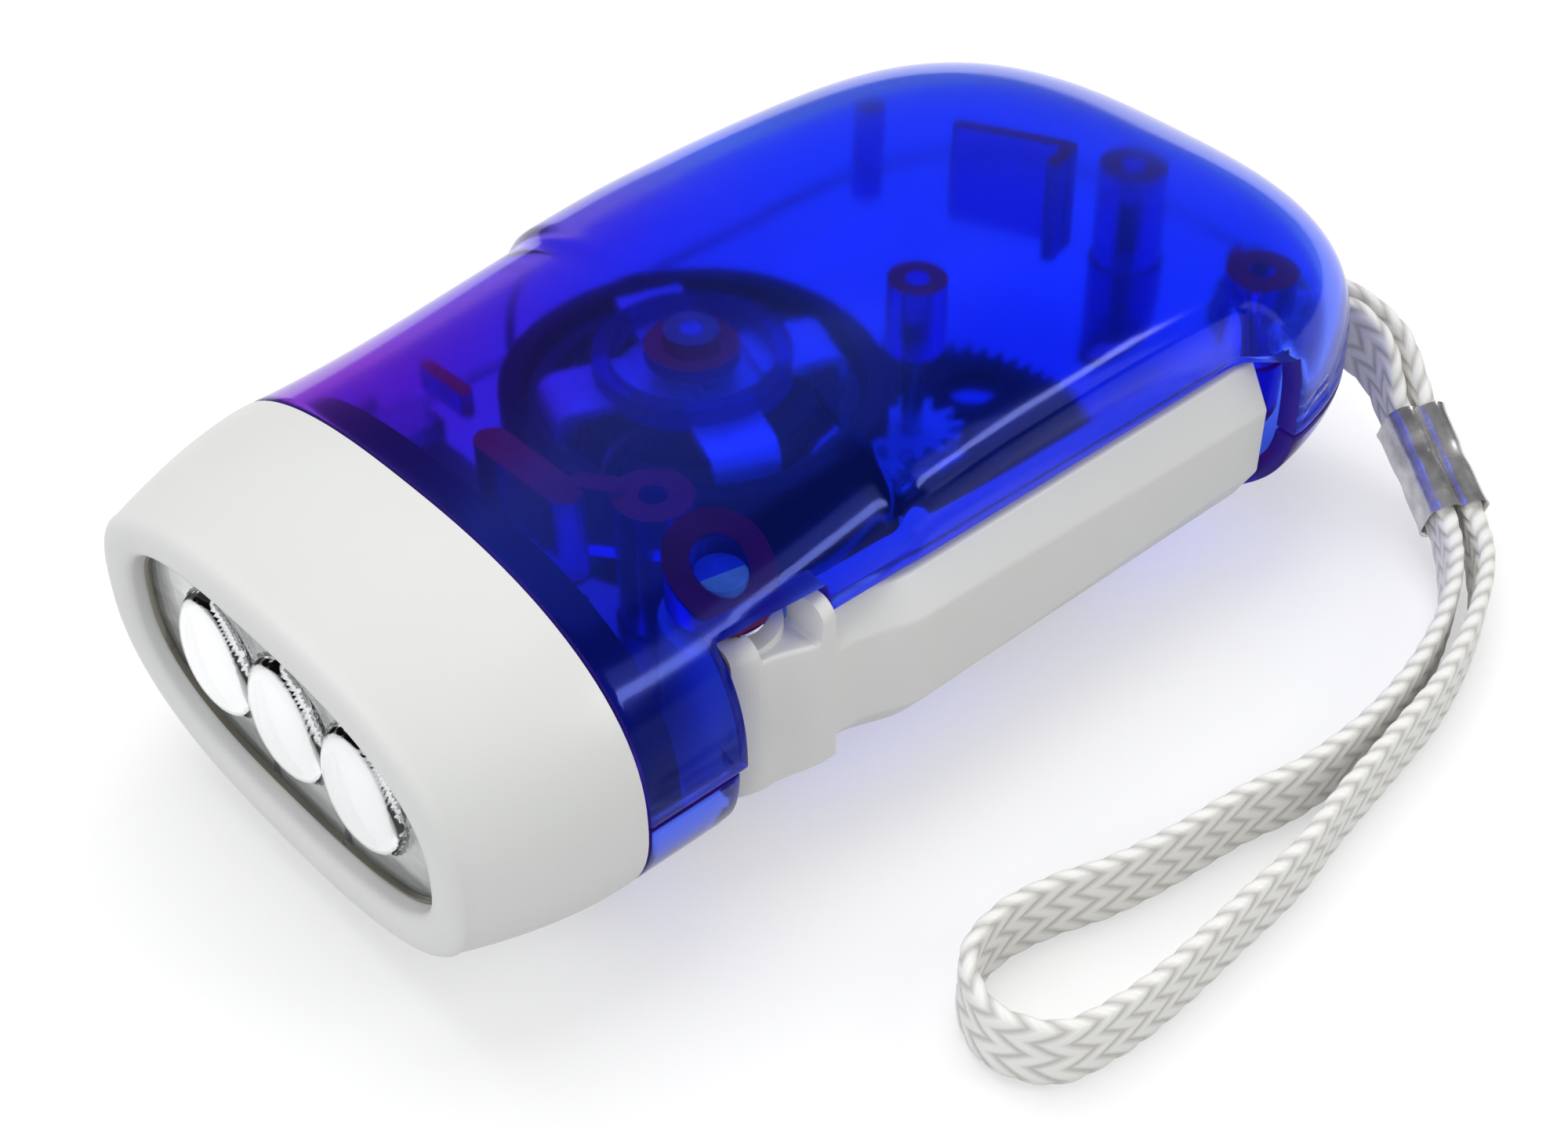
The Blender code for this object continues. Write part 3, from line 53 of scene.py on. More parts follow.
picture = {
    "lens": 54.18, "sensor": 36.0,
    "place": (0.1188, -0.1120, 0.1406),
    "turn": (49.2, 0.0, 47.8),
}
cameraData = bpy.data.cameras.new("pictureCamera")
cameraData.lens = picture["lens"]
cameraData.sensor_width = picture["sensor"]
cameraData.clip_start = 0.005
camera = bpy.data.objects.new("pictureCamera", cameraData)
camera.location = picture["place"]
camera.rotation_euler = [math.radians(angle) for angle in picture["turn"]]
scene.collection.objects.link(camera)
scene.camera = camera
print("camera placed")


# Small helpers


def smoothStep(value):
    value = min(max(value, 0.0), 1.0)
    return value * value * (3.0 - 2.0 * value)


def blendOf(low, high, share):
    return low + (high - low) * share


# 0 before start, 1 from a run after it
def stepAfter(place, start, run):
    return smoothStep((place - start) / run)


def addNode(tree, kind, inputs=None, **settings):
    made = tree.nodes.new(kind)
    for key, value in settings.items():
        setattr(made, key, value)
    for key, value in (inputs or {}).items():
        if isinstance(value, bpy.types.NodeSocket):
            tree.links.new(value, made.inputs[key])
        else:
            made.inputs[key].default_value = value
    return made


def mathNode(tree, operation, first, second=0.0, third=0.0):
    made = addNode(tree, "ShaderNodeMath", {0: first, 1: second, 2: third}, operation=operation)
    return made.outputs[0]


def rangeNode(tree, value, low, high, toLow=0.0, toHigh=1.0):
    ends = {"From Min": low, "From Max": high, "To Min": toLow, "To Max": toHigh}
    return addNode(tree, "ShaderNodeMapRange", {"Value": value, **ends}).outputs[0]


def tintNode(tree, share, first, second):
    tones = {0: share, 6: (*first, 1.0), 7: (*second, 1.0)}
    return addNode(tree, "ShaderNodeMix", tones, data_type="RGBA").outputs[2]


def bumpNode(tree, height, depth, strength=1.0):
    inputs = {"Height": height, "Strength": strength, "Distance": depth * mm}
    return addNode(tree, "ShaderNodeBump", inputs).outputs[0]


def objectPlace(tree):
    return addNode(tree, "ShaderNodeTexCoord").outputs["Object"]


def noiseNode(tree, detail, scale, stretch=None):
    place = objectPlace(tree)
    if stretch:
        place = addNode(tree, "ShaderNodeMapping", {"Vector": place, "Scale": stretch}).outputs[0]
    made = addNode(tree, "ShaderNodeTexNoise", {"Vector": place, "Scale": scale, "Detail": detail})
    return made.outputs["Fac"]


finishes = {}
noiseEnds = (0.3, 0.7)  # the stretch of a noise's values that is in use


# Mottle drifts between two tones, scuff changes the gloss and grain is a bump; each ends with its
# noise's scale (grain: scale, depth) and may add a stretch
def newFinish(name, colour, roughness, mottle=None, scuff=None, grain=None, **sockets):
    finish = bpy.data.materials.new(name)
    finish.use_nodes = True
    tree = finish.node_tree
    shader = tree.nodes["Principled BSDF"].inputs
    shader["Base Color"].default_value = (*colour, 1.0)
    shader["Roughness"].default_value = roughness
    for socket, value in sockets.items():
        shader[socket.replace("_", " ")].default_value = value
    if mottle:
        share = rangeNode(tree, noiseNode(tree, 3.0, *mottle[2:]), *noiseEnds)
        tree.links.new(tintNode(tree, share, *mottle[:2]), shader["Base Color"])
    if scuff:
        gloss = rangeNode(tree, noiseNode(tree, 5.0, *scuff[2:]), *noiseEnds, *scuff[:2])
        tree.links.new(gloss, shader["Roughness"])
    if grain:
        height = noiseNode(tree, 2.0, grain[0], *grain[2:])
        tree.links.new(bumpNode(tree, height, grain[1]), shader["Normal"])
    finishes[name] = finish
    return tree, shader


# Finishes

# Blue dye; its drift to violet over the far side of the neck is painted shade
dyeAndShade = {
    "blue": (0.07, 0.15, 0.99),
    "violet": (0.26, 0.05, 0.7),
    "alongY": (0.006, -0.032),  # where the drift starts and ends, in metres
    "acrossX": (0.008, -0.014),
    "cloudScale": 40.0, "cloudLift": 0.45,
    "highlight": (0.22, 0.3, 1.0, 1.0),
}


def makeDyeAndShadeFinish():
    tree, shader = newFinish(
        "clearBlue", dyeAndShade["blue"], 0.1, scuff=(0.08, 0.14, 90.0), grain=(3600.0, 0.0012),
        Transmission_Weight=0.985, IOR=1.34, Specular_IOR_Level=0.32, Specular_Tint=dyeAndShade["highlight"],
    )
    parted = addNode(tree, "ShaderNodeSeparateXYZ", {0: objectPlace(tree)}).outputs
    along = rangeNode(tree, parted["Y"], *dyeAndShade["alongY"])
    aside = rangeNode(tree, parted["X"], *dyeAndShade["acrossX"])
    cloud = mathNode(tree, "ADD", noiseNode(tree, 3.0, dyeAndShade["cloudScale"]), dyeAndShade["cloudLift"])
    # Painted shade: the share of violet grows towards the far side of the neck, broken up by a noise
    shadeDrift = mathNode(tree, "MULTIPLY", mathNode(tree, "MULTIPLY", along, aside), cloud)
    tree.links.new(tintNode(tree, shadeDrift, dyeAndShade["blue"], dyeAndShade["violet"]), shader["Base Color"])


makeDyeAndShadeFinish()

# Plastics of the housing: posts, cut edges, faded roots, and dark ends whose colour is painted shade, one of
# them with a painted glow
newFinish(
    "postBlue", (0.16, 0.1, 0.82), 0.2, ((0.14, 0.09, 0.8), (0.2, 0.1, 0.85), 160.0), None,
    (2600.0, 0.002), Transmission_Weight=0.9, IOR=1.3,
)
newFinish(
    "edgeBlue", (0.05, 0.02, 0.4), 0.3, ((0.04, 0.015, 0.36), (0.07, 0.02, 0.45), 200.0), None,
    (2600.0, 0.003), Transmission_Weight=0.5, IOR=1.3,
)
newFinish(
    "faintBlue", (0.97, 0.98, 1.0), 0.0, ((0.96, 0.975, 1.0), (0.98, 0.985, 1.0), 160.0),
    Transmission_Weight=1.0, IOR=1.0,
)
# Painted shade with a painted glow: the dark red ends of the posts, whose red emission stands in for light
# caught in thick plastic
newFinish(
    "paintedShadeGlow", (0.1, 0.0, 0.01), 0.5, ((0.08, 0.0, 0.006), (0.13, 0.0, 0.014), 220.0),
    Emission_Color=(1.0, 0.0, 0.02, 1.0), Emission_Strength=0.2,  # light caught in thick plastic
)
# Painted shade: the dark opaque top of a short post or rib
newFinish(
    "paintedShadeTop", (0.14, 0.0, 0.06), 0.5, ((0.11, 0.0, 0.05), (0.18, 0.004, 0.08), 220.0), None,
    (2600.0, 0.01), Specular_IOR_Level=0.1,
)

# Opaque plastics; the sleeve's near-black colour is painted shade, as it stays in the dark between the head
# and the boards
newFinish(
    "shadedSleeve", (0.03, 0.02, 0.05), 0.6, ((0.02, 0.012, 0.04), (0.05, 0.03, 0.07), 150.0), None,
    (1500.0, 0.02), Specular_IOR_Level=0.1,
)
newFinish(
    "paleGrey", (0.775, 0.78, 0.755), 0.42, ((0.765, 0.775, 0.75), (0.79, 0.79, 0.77), 55.0),
    (0.36, 0.48, 130.0), (4200.0, 0.012),
)
newFinish(
    "blackPlastic", (0.012, 0.01, 0.012), 0.5, ((0.009, 0.008, 0.01), (0.018, 0.016, 0.02), 90.0), None,
    (2400.0, 0.015), Specular_IOR_Level=0.2,
)
newFinish(
    "nylonWhite", (0.84, 0.85, 0.81), 0.45, ((0.82, 0.83, 0.78), (0.87, 0.87, 0.84), 200.0), None,
    (1600.0, 0.015),
)
newFinish(
    "redWire", (0.6, 0.03, 0.03), 0.38, ((0.55, 0.025, 0.025), (0.66, 0.04, 0.04), 300.0), None,
    (1500.0, 0.01),
)

# Lamp: window, LEDs, mirror of the cups, streaked plate round them, a ring of painted shade and board
newFinish(
    "lensClear", (0.97, 0.98, 0.985), 0.02, ((0.95, 0.97, 0.98), (0.98, 0.98, 0.99), 120.0),
    Transmission_Weight=1.0, IOR=1.49,
)
newFinish(
    "ledClear", (0.96, 0.98, 0.99), 0.04, ((0.94, 0.96, 0.98), (0.98, 0.99, 0.99), 200.0),
    Transmission_Weight=1.0, IOR=1.5,
)
newFinish(
    "mirrorCoat", (0.85, 0.85, 0.85), 0.2,
    ((0.16, 0.2, 0.21), (1.0, 0.98, 0.97), 620.0, (1.0, 1.0, 0.22)),
    (0.12, 0.34, 300.0), (150.0, 0.1, (1.5, 1.0, 0.6)), Metallic=0.7,
)
newFinish(
    "pearlCoat", (0.8, 0.8, 0.78), 0.34,
    ((0.46, 0.49, 0.45), (1.0, 0.99, 0.97), 520.0, (0.3, 1.0, 1.1)),
    None, (300.0, 0.12, (0.4, 1.0, 1.0)), Metallic=0.35,
)
# Olive-dark finish of the ring of painted shade
newFinish("shadeRingOlive", (0.2, 0.19, 0.15), 0.4, None, (0.22, 0.4, 200.0), Metallic=0.3)
newFinish(
    "boardGreen", (0.01, 0.07, 0.03), 0.4, ((0.008, 0.055, 0.025), (0.02, 0.12, 0.05), 500.0), None,
    (900.0, 0.02),
)
newFinish(
    "cellWrap", (0.015, 0.13, 0.04), 0.3, ((0.012, 0.11, 0.035), (0.03, 0.16, 0.06), 120.0), None,
    (700.0, 0.02, (1.0, 0.2, 1.0)),
)

# Metals
newFinish(
    "pinEnd", (0.3, 0.46, 0.4), 0.6, ((0.24, 0.4, 0.34), (0.36, 0.5, 0.44), 700.0), None,
    (1200.0, 0.02), Specular_IOR_Level=0.2,
)
newFinish(
    "magnetBlack", (0.06, 0.06, 0.065), 0.6, ((0.045, 0.045, 0.05), (0.09, 0.09, 0.095), 700.0), None,
    (1500.0, 0.03),
)
newFinish(
    "brightSteel", (0.64, 0.65, 0.67), 0.25, ((0.6, 0.61, 0.63), (0.7, 0.7, 0.72), 300.0),
    (0.18, 0.34, 500.0, (1.0, 1.0, 0.1)), (1800.0, 0.01, (1.0, 1.0, 0.08)), Metallic=1.0,
)
newFinish(
    "clawSteel", (0.8, 0.81, 0.83), 0.3, ((0.77, 0.78, 0.8), (0.84, 0.85, 0.87), 180.0),
    (0.22, 0.42, 240.0), (1400.0, 0.02), Metallic=0.25,
)
newFinish(
    "nickelPlate", (0.62, 0.61, 0.6), 0.24, ((0.42, 0.41, 0.42), (0.8, 0.79, 0.76), 420.0),
    (0.14, 0.34, 420.0), (520.0, 0.05), Metallic=0.72,
)
newFinish(
    "brassTurned", (0.75, 0.55, 0.2), 0.28, ((0.7, 0.5, 0.18), (0.8, 0.6, 0.26), 400.0), None,
    (2000.0, 0.01, (1.0, 1.0, 0.1)), Metallic=1.0,
)
newFinish(
    "copperWire", (0.72, 0.3, 0.12), 0.3, ((0.66, 0.26, 0.1), (0.8, 0.36, 0.16), 900.0), None,
    (900.0, 0.02, (0.2, 0.2, 1.0)), Metallic=1.0,
)


# Mesh helpers; every size given to them is in millimetres


def mappedSheet(bm, across, along, shape):
    made = bmesh.ops.create_grid(bm, x_segments=across, y_segments=along, size=0.5)
    cells = {}
    for vert in made["verts"]:
        column = round((vert.co.x + 0.5) * across)
        row = round((vert.co.y + 0.5) * along)
        vert.co = Vector(shape(column, row)) * mm
        cells[vert] = (column, row)
    return cells


def mergeClose(bm, distance=0.002):
    bmesh.ops.remove_doubles(bm, verts=bm.verts, dist=distance * mm)
    bmesh.ops.dissolve_degenerate(bm, edges=bm.edges, dist=distance * mm)


def rimEdges(bm):
    return [edge for edge in bm.edges if edge.is_boundary]


def capRims(bm):
    bmesh.ops.holes_fill(bm, edges=rimEdges(bm), sides=0)


def facesOf(verts):
    return {face for vert in verts for face in vert.link_faces}


# Extrudes faces in place and gives the new vertices, ready to be moved, and the new faces
def extruded(bm, faces):
    made = bmesh.ops.extrude_face_region(bm, geom=list(faces))["geom"]
    verts = [item for item in made if isinstance(item, bmesh.types.BMVert)]
    return verts, [item for item in made if isinstance(item, bmesh.types.BMFace)]


def bevelEdges(bm, edges, width, segments):
    bmesh.ops.bevel(
        bm, geom=edges, offset=width * mm, segments=segments, profile=0.5, affect="EDGES", material=-1,
        clamp_overlap=True,
    )


def softenEdges(bm, width, angle, segments, keep):
    sharp = []
    for edge in bm.edges:
        if len(edge.link_faces) == 2 and edge.calc_face_angle(0.0) > math.radians(angle) and keep(edge):
            sharp.append(edge)
    bevelEdges(bm, sharp, width, segments)


# Turns a profile of radius and height; an open one starts and ends on its axis
def turnProfile(bm, centre, profile, steps=64, axis=(0, 0, 1), closed=True):
    middle, axis = Vector(centre), Vector(axis)
    places = [middle + Vector((radius, 0, 0)) + axis * height for radius, height in profile]
    verts = [bm.verts.new(place * mm) for place in places]
    pairs = list(zip(verts, verts[1:]))
    if closed:
        pairs.append((verts[-1], verts[0]))
    edges = [bm.edges.new(pair) for pair in pairs]
    bmesh.ops.spin(
        bm, geom=verts + edges, cent=middle * mm, axis=axis, angle=circle, steps=steps, use_merge=True
    )
    if not closed:
        mergeClose(bm)


def addBlock(bm, low, high, width=0.0, segments=2):
    low, high = Vector(low) * mm, Vector(high) * mm
    verts = bmesh.ops.create_cube(bm, size=1.0)["verts"]
    bmesh.ops.scale(bm, vec=high - low, verts=verts)
    bmesh.ops.translate(bm, vec=(low + high) / 2, verts=verts)
    if width:
        bevelEdges(bm, list({edge for vert in verts for edge in vert.link_edges}), width, segments)


def objectFrom(name, bm):
    mesh = bpy.data.meshes.new(name)
    bm.to_mesh(mesh)
    bm.free()
    made = bpy.data.objects.new(name, mesh)
    scene.collection.objects.link(made)
    return made


# The coats are names of finishes; without a sharp angle the piece stays faceted
def finishPiece(name, bm, coats, body, slotName, stands=(), sharp=40.0):
    bmesh.ops.recalc_face_normals(bm, faces=bm.faces)
    piece = objectFrom(name, bm)
    for coat in coats:
        piece.data.materials.append(finishes[coat])
    if sharp:
        piece.data.shade_smooth()
        piece.data.set_sharp_from_angle(angle=math.radians(sharp))
    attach(piece, body)
    if stands:
        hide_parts(*stands)
    return piece


# Takes cutters out of a finished piece and bakes the result into its mesh
def carve(piece, cutters):
    for cutter in cutters:
        step = piece.modifiers.new(cutter.name, "BOOLEAN")
        step.operation = "DIFFERENCE"
        step.solver = "EXACT"
        step.object = cutter
    bpy.context.view_layer.update()
    graph = bpy.context.evaluated_depsgraph_get()
    made = bpy.data.meshes.new_from_object(piece.evaluated_get(graph))
    old = piece.data
    piece.modifiers.clear()
    piece.data = made
    made.name = old.name
    bpy.data.meshes.remove(old)
    for cutter in cutters:
        bpy.data.objects.remove(cutter, do_unlink=True)


def cutterFrom(name, bm):
    bmesh.ops.recalc_face_normals(bm, faces=bm.faces)
    return objectFrom(name, bm)


# Smooth curve through points, with the same number of steps between each two
def throughPoints(points, steps):
    points = [Vector(point) for point in points]
    ends = [2 * points[0] - points[1]] + points + [2 * points[-1] - points[-2]]
    route = []
    for index in range(1, len(ends) - 2):
        before, start, end, after = ends[index - 1 : index + 3]
        for step in range(steps):
            part = step / steps
            bend = 2 * before - 5 * start + 4 * end - after
            twist = 3 * start - before - 3 * end + after
            route.append(start + 0.5 * ((end - before) * part + bend * part**2 + twist * part**3))
    return route + [points[-1]]


# Wrist strap: a braided tape on edge, round the bar, through the ferrule and round its loop

braid = {
    "width": 6.8, "thickness": 1.5,
    "columns": 5,  # chevron columns over one face
    "pitch": 2.5,  # length of tape that one strand takes
    "slant": 0.85, "relief": 0.2, "strandPower": 0.7, "seamDip": 0.45, "around": 44,
    "smoothing": 18,
    "gather": ((28.75, 47.9, 8.2), (37.75, 43.3, 4.5)),  # ends of the bunched stretch
    "bunched": (0.62, 1.3),  # share of its width and thickness there
    "gatherFade": 0.7,
    "gatherFrom": (20, 25),  # no bunching below this x and y
    "shadow": (0.1, (0.6, 0.585, 0.54, 1.0)),  # place on the ramp and colour
    "light": (0.85, (0.97, 0.96, 0.92, 1.0)),
    "gap": 0.36,  # a strand's shaded edge ends here
    "fibres": (16.0, 0.8),  # across and along one strand
    "fibreTone": 0.35, "toneScale": 0.78, "fibreDepth": 0.08,
    "route": (
        (12.0, 39.4, 15.0), (13.5, 39.3, 15.0), (14.8, 40.1, 15.0), (17.3, 44.3, 15.0),
        (19.9, 47.3, 14.4), (23.8, 48.3, 11.8), (28.2, 46.7, 8.2), (32.7, 44.3, 6.1),
        (37.2, 42.1, 4.5), (41.7, 37.6, 3.5), (45.1, 31.6, 3.5), (47.8, 23.7, 3.5),
        (49.1, 15.5, 3.5), (49.0, 7.4, 3.5), (47.8, 1.3, 3.5), (47.0, -5.7, 3.5),
        (45.9, -11.7, 3.5), (44.1, -17.1, 3.5), (43.4, -22.0, 3.5), (44.8, -26.7, 3.5),
        (49.4, -28.9, 3.5), (53.8, -26.7, 3.5), (55.2, -21.7, 3.5), (55.4, -15.6, 3.5),
        (54.9, -7.8, 3.5), (54.3, 0.3, 3.5), (52.9, 7.4, 3.5), (51.6, 15.9, 3.5),
        (50.1, 24.5, 3.5), (47.2, 32.9, 3.5), (43.5, 39.6, 3.5), (38.3, 44.5, 4.5),
        (33.9, 46.7, 6.1), (29.3, 49.1, 8.2), (23.7, 50.8, 11.8), (18.3, 49.5, 14.4),
        (14.7, 46.5, 15.0), (11.2, 42.9, 15.0), (10.7, 41.4, 15.0), (11.2, 40.0, 15.0),
    ),
}


# The tape's own map, columns across and turns along, shades the strands and their fibres
def makeBraidFinish():
    tree, shader = newFinish(
        "braidedTape", (0.86, 0.85, 0.81), 0.45, Sheen_Weight=0.25, Sheen_Roughness=0.4
    )
    place = addNode(tree, "ShaderNodeUVMap", uv_map="tape").outputs[0]
    parted = addNode(tree, "ShaderNodeSeparateXYZ", {0: place}).outputs
    fold = mathNode(tree, "PINGPONG", parted["X"], 1.0)
    slant = mathNode(tree, "MULTIPLY_ADD", fold, braid["slant"], parted["Y"])
    gap = rangeNode(tree, mathNode(tree, "PINGPONG", slant, 0.5), 0.0, braid["gap"])
    across = mathNode(tree, "MULTIPLY", mathNode(tree, "FRACT", slant), braid["fibres"][0])
    onward = mathNode(tree, "MULTIPLY", fold, braid["fibres"][1])
    spot = addNode(tree, "ShaderNodeCombineXYZ", {"X": across, "Y": onward, "Z": parted["X"]}).outputs[0]
    fibre = addNode(tree, "ShaderNodeTexNoise", {"Vector": spot, "Scale": 1.0, "Detail": 2.0}).outputs["Fac"]
    tone = mathNode(tree, "MULTIPLY_ADD", fibre, braid["fibreTone"], gap)
    ramp = addNode(
        tree, "ShaderNodeValToRGB", {"Fac": mathNode(tree, "MULTIPLY", tone, braid["toneScale"])}
    )
    low, high = ramp.color_ramp.elements
    low.position, low.color = braid["shadow"]
    high.position, high.color = braid["light"]
    tree.links.new(ramp.outputs[0], shader["Base Color"])
    tree.links.new(bumpNode(tree, fibre, braid["fibreDepth"], 0.6), shader["Normal"])


# Height of the braid over the tape's face, from 0 between strands to 1 on one
def braidRelief(columns, turns):
    fold = abs((columns + 1.0) % 2.0 - 1.0)
    ridge = (turns + fold * braid["slant"]) % 1.0
    strand = math.sin(math.pi * ridge) ** braid["strandPower"]
    edge = math.sqrt(abs(math.sin(math.pi * columns)))
    return strand * blendOf(1.0, edge, braid["seamDip"])


# Place on the tape's round-ended section and its outward direction, each as (up, aside)
def tapeOutline(share):
    radius = braid["thickness"] / 2 - braid["relief"]
    core = (braid["width"] - braid["thickness"]) / 2
    flat, bend = 2 * core, math.pi * radius
    walk = (share % 1.0) * 2 * (flat + bend)
    sign = 1 if walk < flat + bend else -1
    walk %= flat + bend
    if walk < flat:
        return (sign * (walk - core), sign * radius), (0.0, sign)
    lean = (walk - flat) / radius
    out = (sign * math.sin(lean), sign * math.cos(lean))
    return (sign * core + radius * out[0], radius * out[1]), out


def makeStrap():
    points = throughPoints(braid["route"], braid["smoothing"])
    travelled = [0.0]
    for first, second in zip(points, points[1:]):
        travelled.append(travelled[-1] + (second - first).length)
    along = len(points) - 1
    around = braid["around"]
    gatherStart, gatherEnd = (Vector(end) for end in braid["gather"])
    gatherAxis = gatherEnd - gatherStart
    lowX, lowY = braid["gatherFrom"]
    frames = []
    for index, point in enumerate(points):
        ahead = points[min(index + 1, along)] - points[max(index - 1, 0)]
        ahead.normalize()
        upward = (Vector((0, 0, 1)) - ahead * ahead.z).normalized()
        share = (point - gatherStart).dot(gatherAxis) / gatherAxis.length_squared
        near = 1 - smoothStep((abs(share - 0.5) - 0.5) / braid["gatherFade"])
        near = near if point.x > lowX and point.y > lowY else 0.0
        frames.append((point, upward, ahead.cross(upward), near))

    def tapeMap(column, row):
        return 2 * braid["columns"] * column / around, travelled[row] / braid["pitch"]

    def place(column, row):
        (high, aside), (highOut, asideOut) = tapeOutline(column / around)
        out = braid["relief"] * braidRelief(*tapeMap(column, row))
        point, upward, sideways, near = frames[row]
        narrow, thick = (blendOf(1.0, share, near) for share in braid["bunched"])
        high, aside = (high + highOut * out) * narrow, (aside + asideOut * out) * thick
        return point + upward * high + sideways * aside

    bm = bmesh.new()
    cells = mappedSheet(bm, around, along, place)
    tape = bm.loops.layers.uv.new("tape")
    for face in bm.faces:
        for loop in face.loops:
            loop[tape].uv = tapeMap(*cells[loop.vert])
    mergeClose(bm, 0.001)
    capRims(bm)
    made = finishPiece("wristStrap", bm, ["braidedTape"], "housing", "tape_white", ["wrist_strap"], 60.0)
    return made, points, travelled[-1]


makeBraidFinish()
strap, strapPoints, strapLength = makeStrap()
print("strap made,", round(strapLength, 1), "mm long")

# Ferrule of two barrels side by side, pressed round the strap's two strands

ferruleFit = {
    "ends": braid["gather"],
    "pitch": 2.6, "room": 1.05, "wall": 0.5, "reach": 1.15, "flare": 0.12, "flareShare": 0.07,
    "dent": 0.14, "dentShare": 0.09, "steps": 10, "rings": 25,
    "lip": ((0.0, 0.0), (0.12, 0.04), (0.34, 0.3), (0.4, 1.6)),  # how far in and how deep
}


def makeFerrule():
    fit = ferruleFit
    start, end = (Vector(point) for point in fit["ends"])
    axis = (end - start).normalized()
    side = axis.cross(Vector((0, 0, 1))).normalized()
    up = side.cross(axis)
    length = (end - start).length
    half = fit["pitch"] / 2
    steps, rings = fit["steps"], fit["rings"]

    # Outline of both barrels with the groove between them, quarter by quarter
    def barrelPoint(column, grown, along):
        radius = fit["room"] + fit["wall"] + grown
        quarter, step = divmod(column % (4 * steps), steps)
        across, rise = ((1, 1), (-1, 1), (-1, -1), (1, -1))[quarter]
        share = step / steps if across * rise > 0 else 1 - step / steps
        turn = share * (math.pi - math.acos(min(1.0, half / radius)))
        x, y = half + radius * math.cos(turn), fit["reach"] + radius * math.sin(turn)
        return start + axis * along + side * across * x + up * rise * y

    def wallPoint(column, row):
        share = row / rings
        lip = max(0.0, 1 - min(share, 1 - share) / fit["flareShare"])
        dent = fit["dent"] * math.exp(-(((share - 0.5) / fit["dentShare"]) ** 2))
        return barrelPoint(column, fit["flare"] * lip - dent, share * length)

    bm = bmesh.new()
    mappedSheet(bm, 4 * steps, rings, wallPoint)

    # The opening of each end narrows inwards to the strands
    for mouth, inward in ((0.0, 1), (length, -1)):
        def lipPoint(column, depth, mouth=mouth, inward=inward):
            drawn, deep = fit["lip"][depth]
            return barrelPoint(column, fit["flare"] - drawn, mouth + deep * inward)

        mappedSheet(bm, 4 * steps, len(fit["lip"]) - 1, lipPoint)
    mergeClose(bm)
    capRims(bm)
    return finishPiece("strapFerrule", bm, ["nickelPlate"], "housing", "steel", ["strap_ferrule"], 50.0)


ferrule = makeFerrule()
print("ferrule and cord set")

# Housing

housing = {
    "neckHalfWidth": 27.0, "bodyHalfWidth": 29.4, "neckHalfHeight": 16.2, "crownHeight": 19.6,
    "bellyDepth": 16.4, "wall": 2.0, "halfGap": 0.15, "junctionY": -41.5, "stepY": -13.5,
    "stepRun": 2.4,
    "stepShare": 0.65,  # of the growth from neck to body
    "swellRun": 22.0, "riseRun": 40.0,
    "narrowFrom": 20.0,  # from here on the plan rounds to the tail
    "lowerFrom": 8.0,  # from here on the side view does
    "planPower": 2.7, "sidePower": 2.4,
    "upperPowers": (2.5, 3.0),  # of the section, at the neck and on the body
    "lowerPowers": (2.1, 1.92),
    "tailY": 50.7, "gripX": 25.0, "gripFrontY": -30.5, "gripTailY": 24.0,
    "gripRuns": (3.0, 9.0),  # at its front and its tail
    "gripSoftness": 0.7, "gripRelease": 8.0, "undercutX": 27.0, "undercutFrontY": -33.2,
    "undercutSlope": 0.85, "undercutDepth": 3.8, "undercutWall": 1.3,
    "undercutNeck": 0.9,  # how much deeper it is before the two values below, start and run
    "undercutStep": (-22.0, 6.0),
    "slotHalf": 7.9, "slotFrontY": -32.2, "slotTailY": 29.0, "notchHalf": 10.2, "notchTailY": -22.0,
    "around": 100, "slotRow": 14, "notchRow": 18, "neckEndY": -16.0, "bodyStartY": -11.0,
    "rows": (
        # where a stretch of the shell starts and its number of rows
        ("junctionY", 13), ("slotFrontY", 14), ("notchTailY", 9), ("neckEndY", 9), ("bodyStartY", 40),
    ),
    "tailRows": 34, "edgeRound": 0.22, "edgeAngle": 55.0, "roundUpTo": 46.0,
}
openings = {
    "button": ((-40.0, -33.6, seamZ - 1.45), (-24.1, -26.4, seamZ + 1.45)),
    "strap": ((-3.1, -4.5, -3.9), (3.1, 6.0, 3.9), 0.6, 3),
    "strapTurn": -41.0,
    "strapPlace": (17.0, 47.0, 15.0),
    "screw": ((0.0, 8.4), (2.7, 8.4), (2.7, -3.0), (0.0, -3.0)),
}


# Half width, rise and power of the housing's section at y
def sectionAt(y, inset, upper):
    h = housing
    grown = stepAfter(y, h["stepY"] - h["stepRun"] / 2, h["stepRun"])
    swell = stepAfter(y, h["stepY"], h["swellRun"])
    middle = blendOf(h["neckHalfWidth"], h["bodyHalfWidth"], blendOf(swell, grown, h["stepShare"]))
    rise = stepAfter(y, h["junctionY"], h["riseRun"])
    height = blendOf(h["neckHalfHeight"], h["crownHeight"] if upper else h["bellyDepth"], rise)
    end = h["tailY"] - inset

    def fading(size, start, power):
        share = max(0.0, (y - start) / (end - start))
        return (size - inset) * max(0.0, 1 - share**power) ** (1 / power)

    width = fading(middle, h["narrowFrom"], h["planPower"])
    tall = fading(height, h["lowerFrom"], h["sidePower"])
    return width, tall, blendOf(*h["upperPowers" if upper else "lowerPowers"], rise)


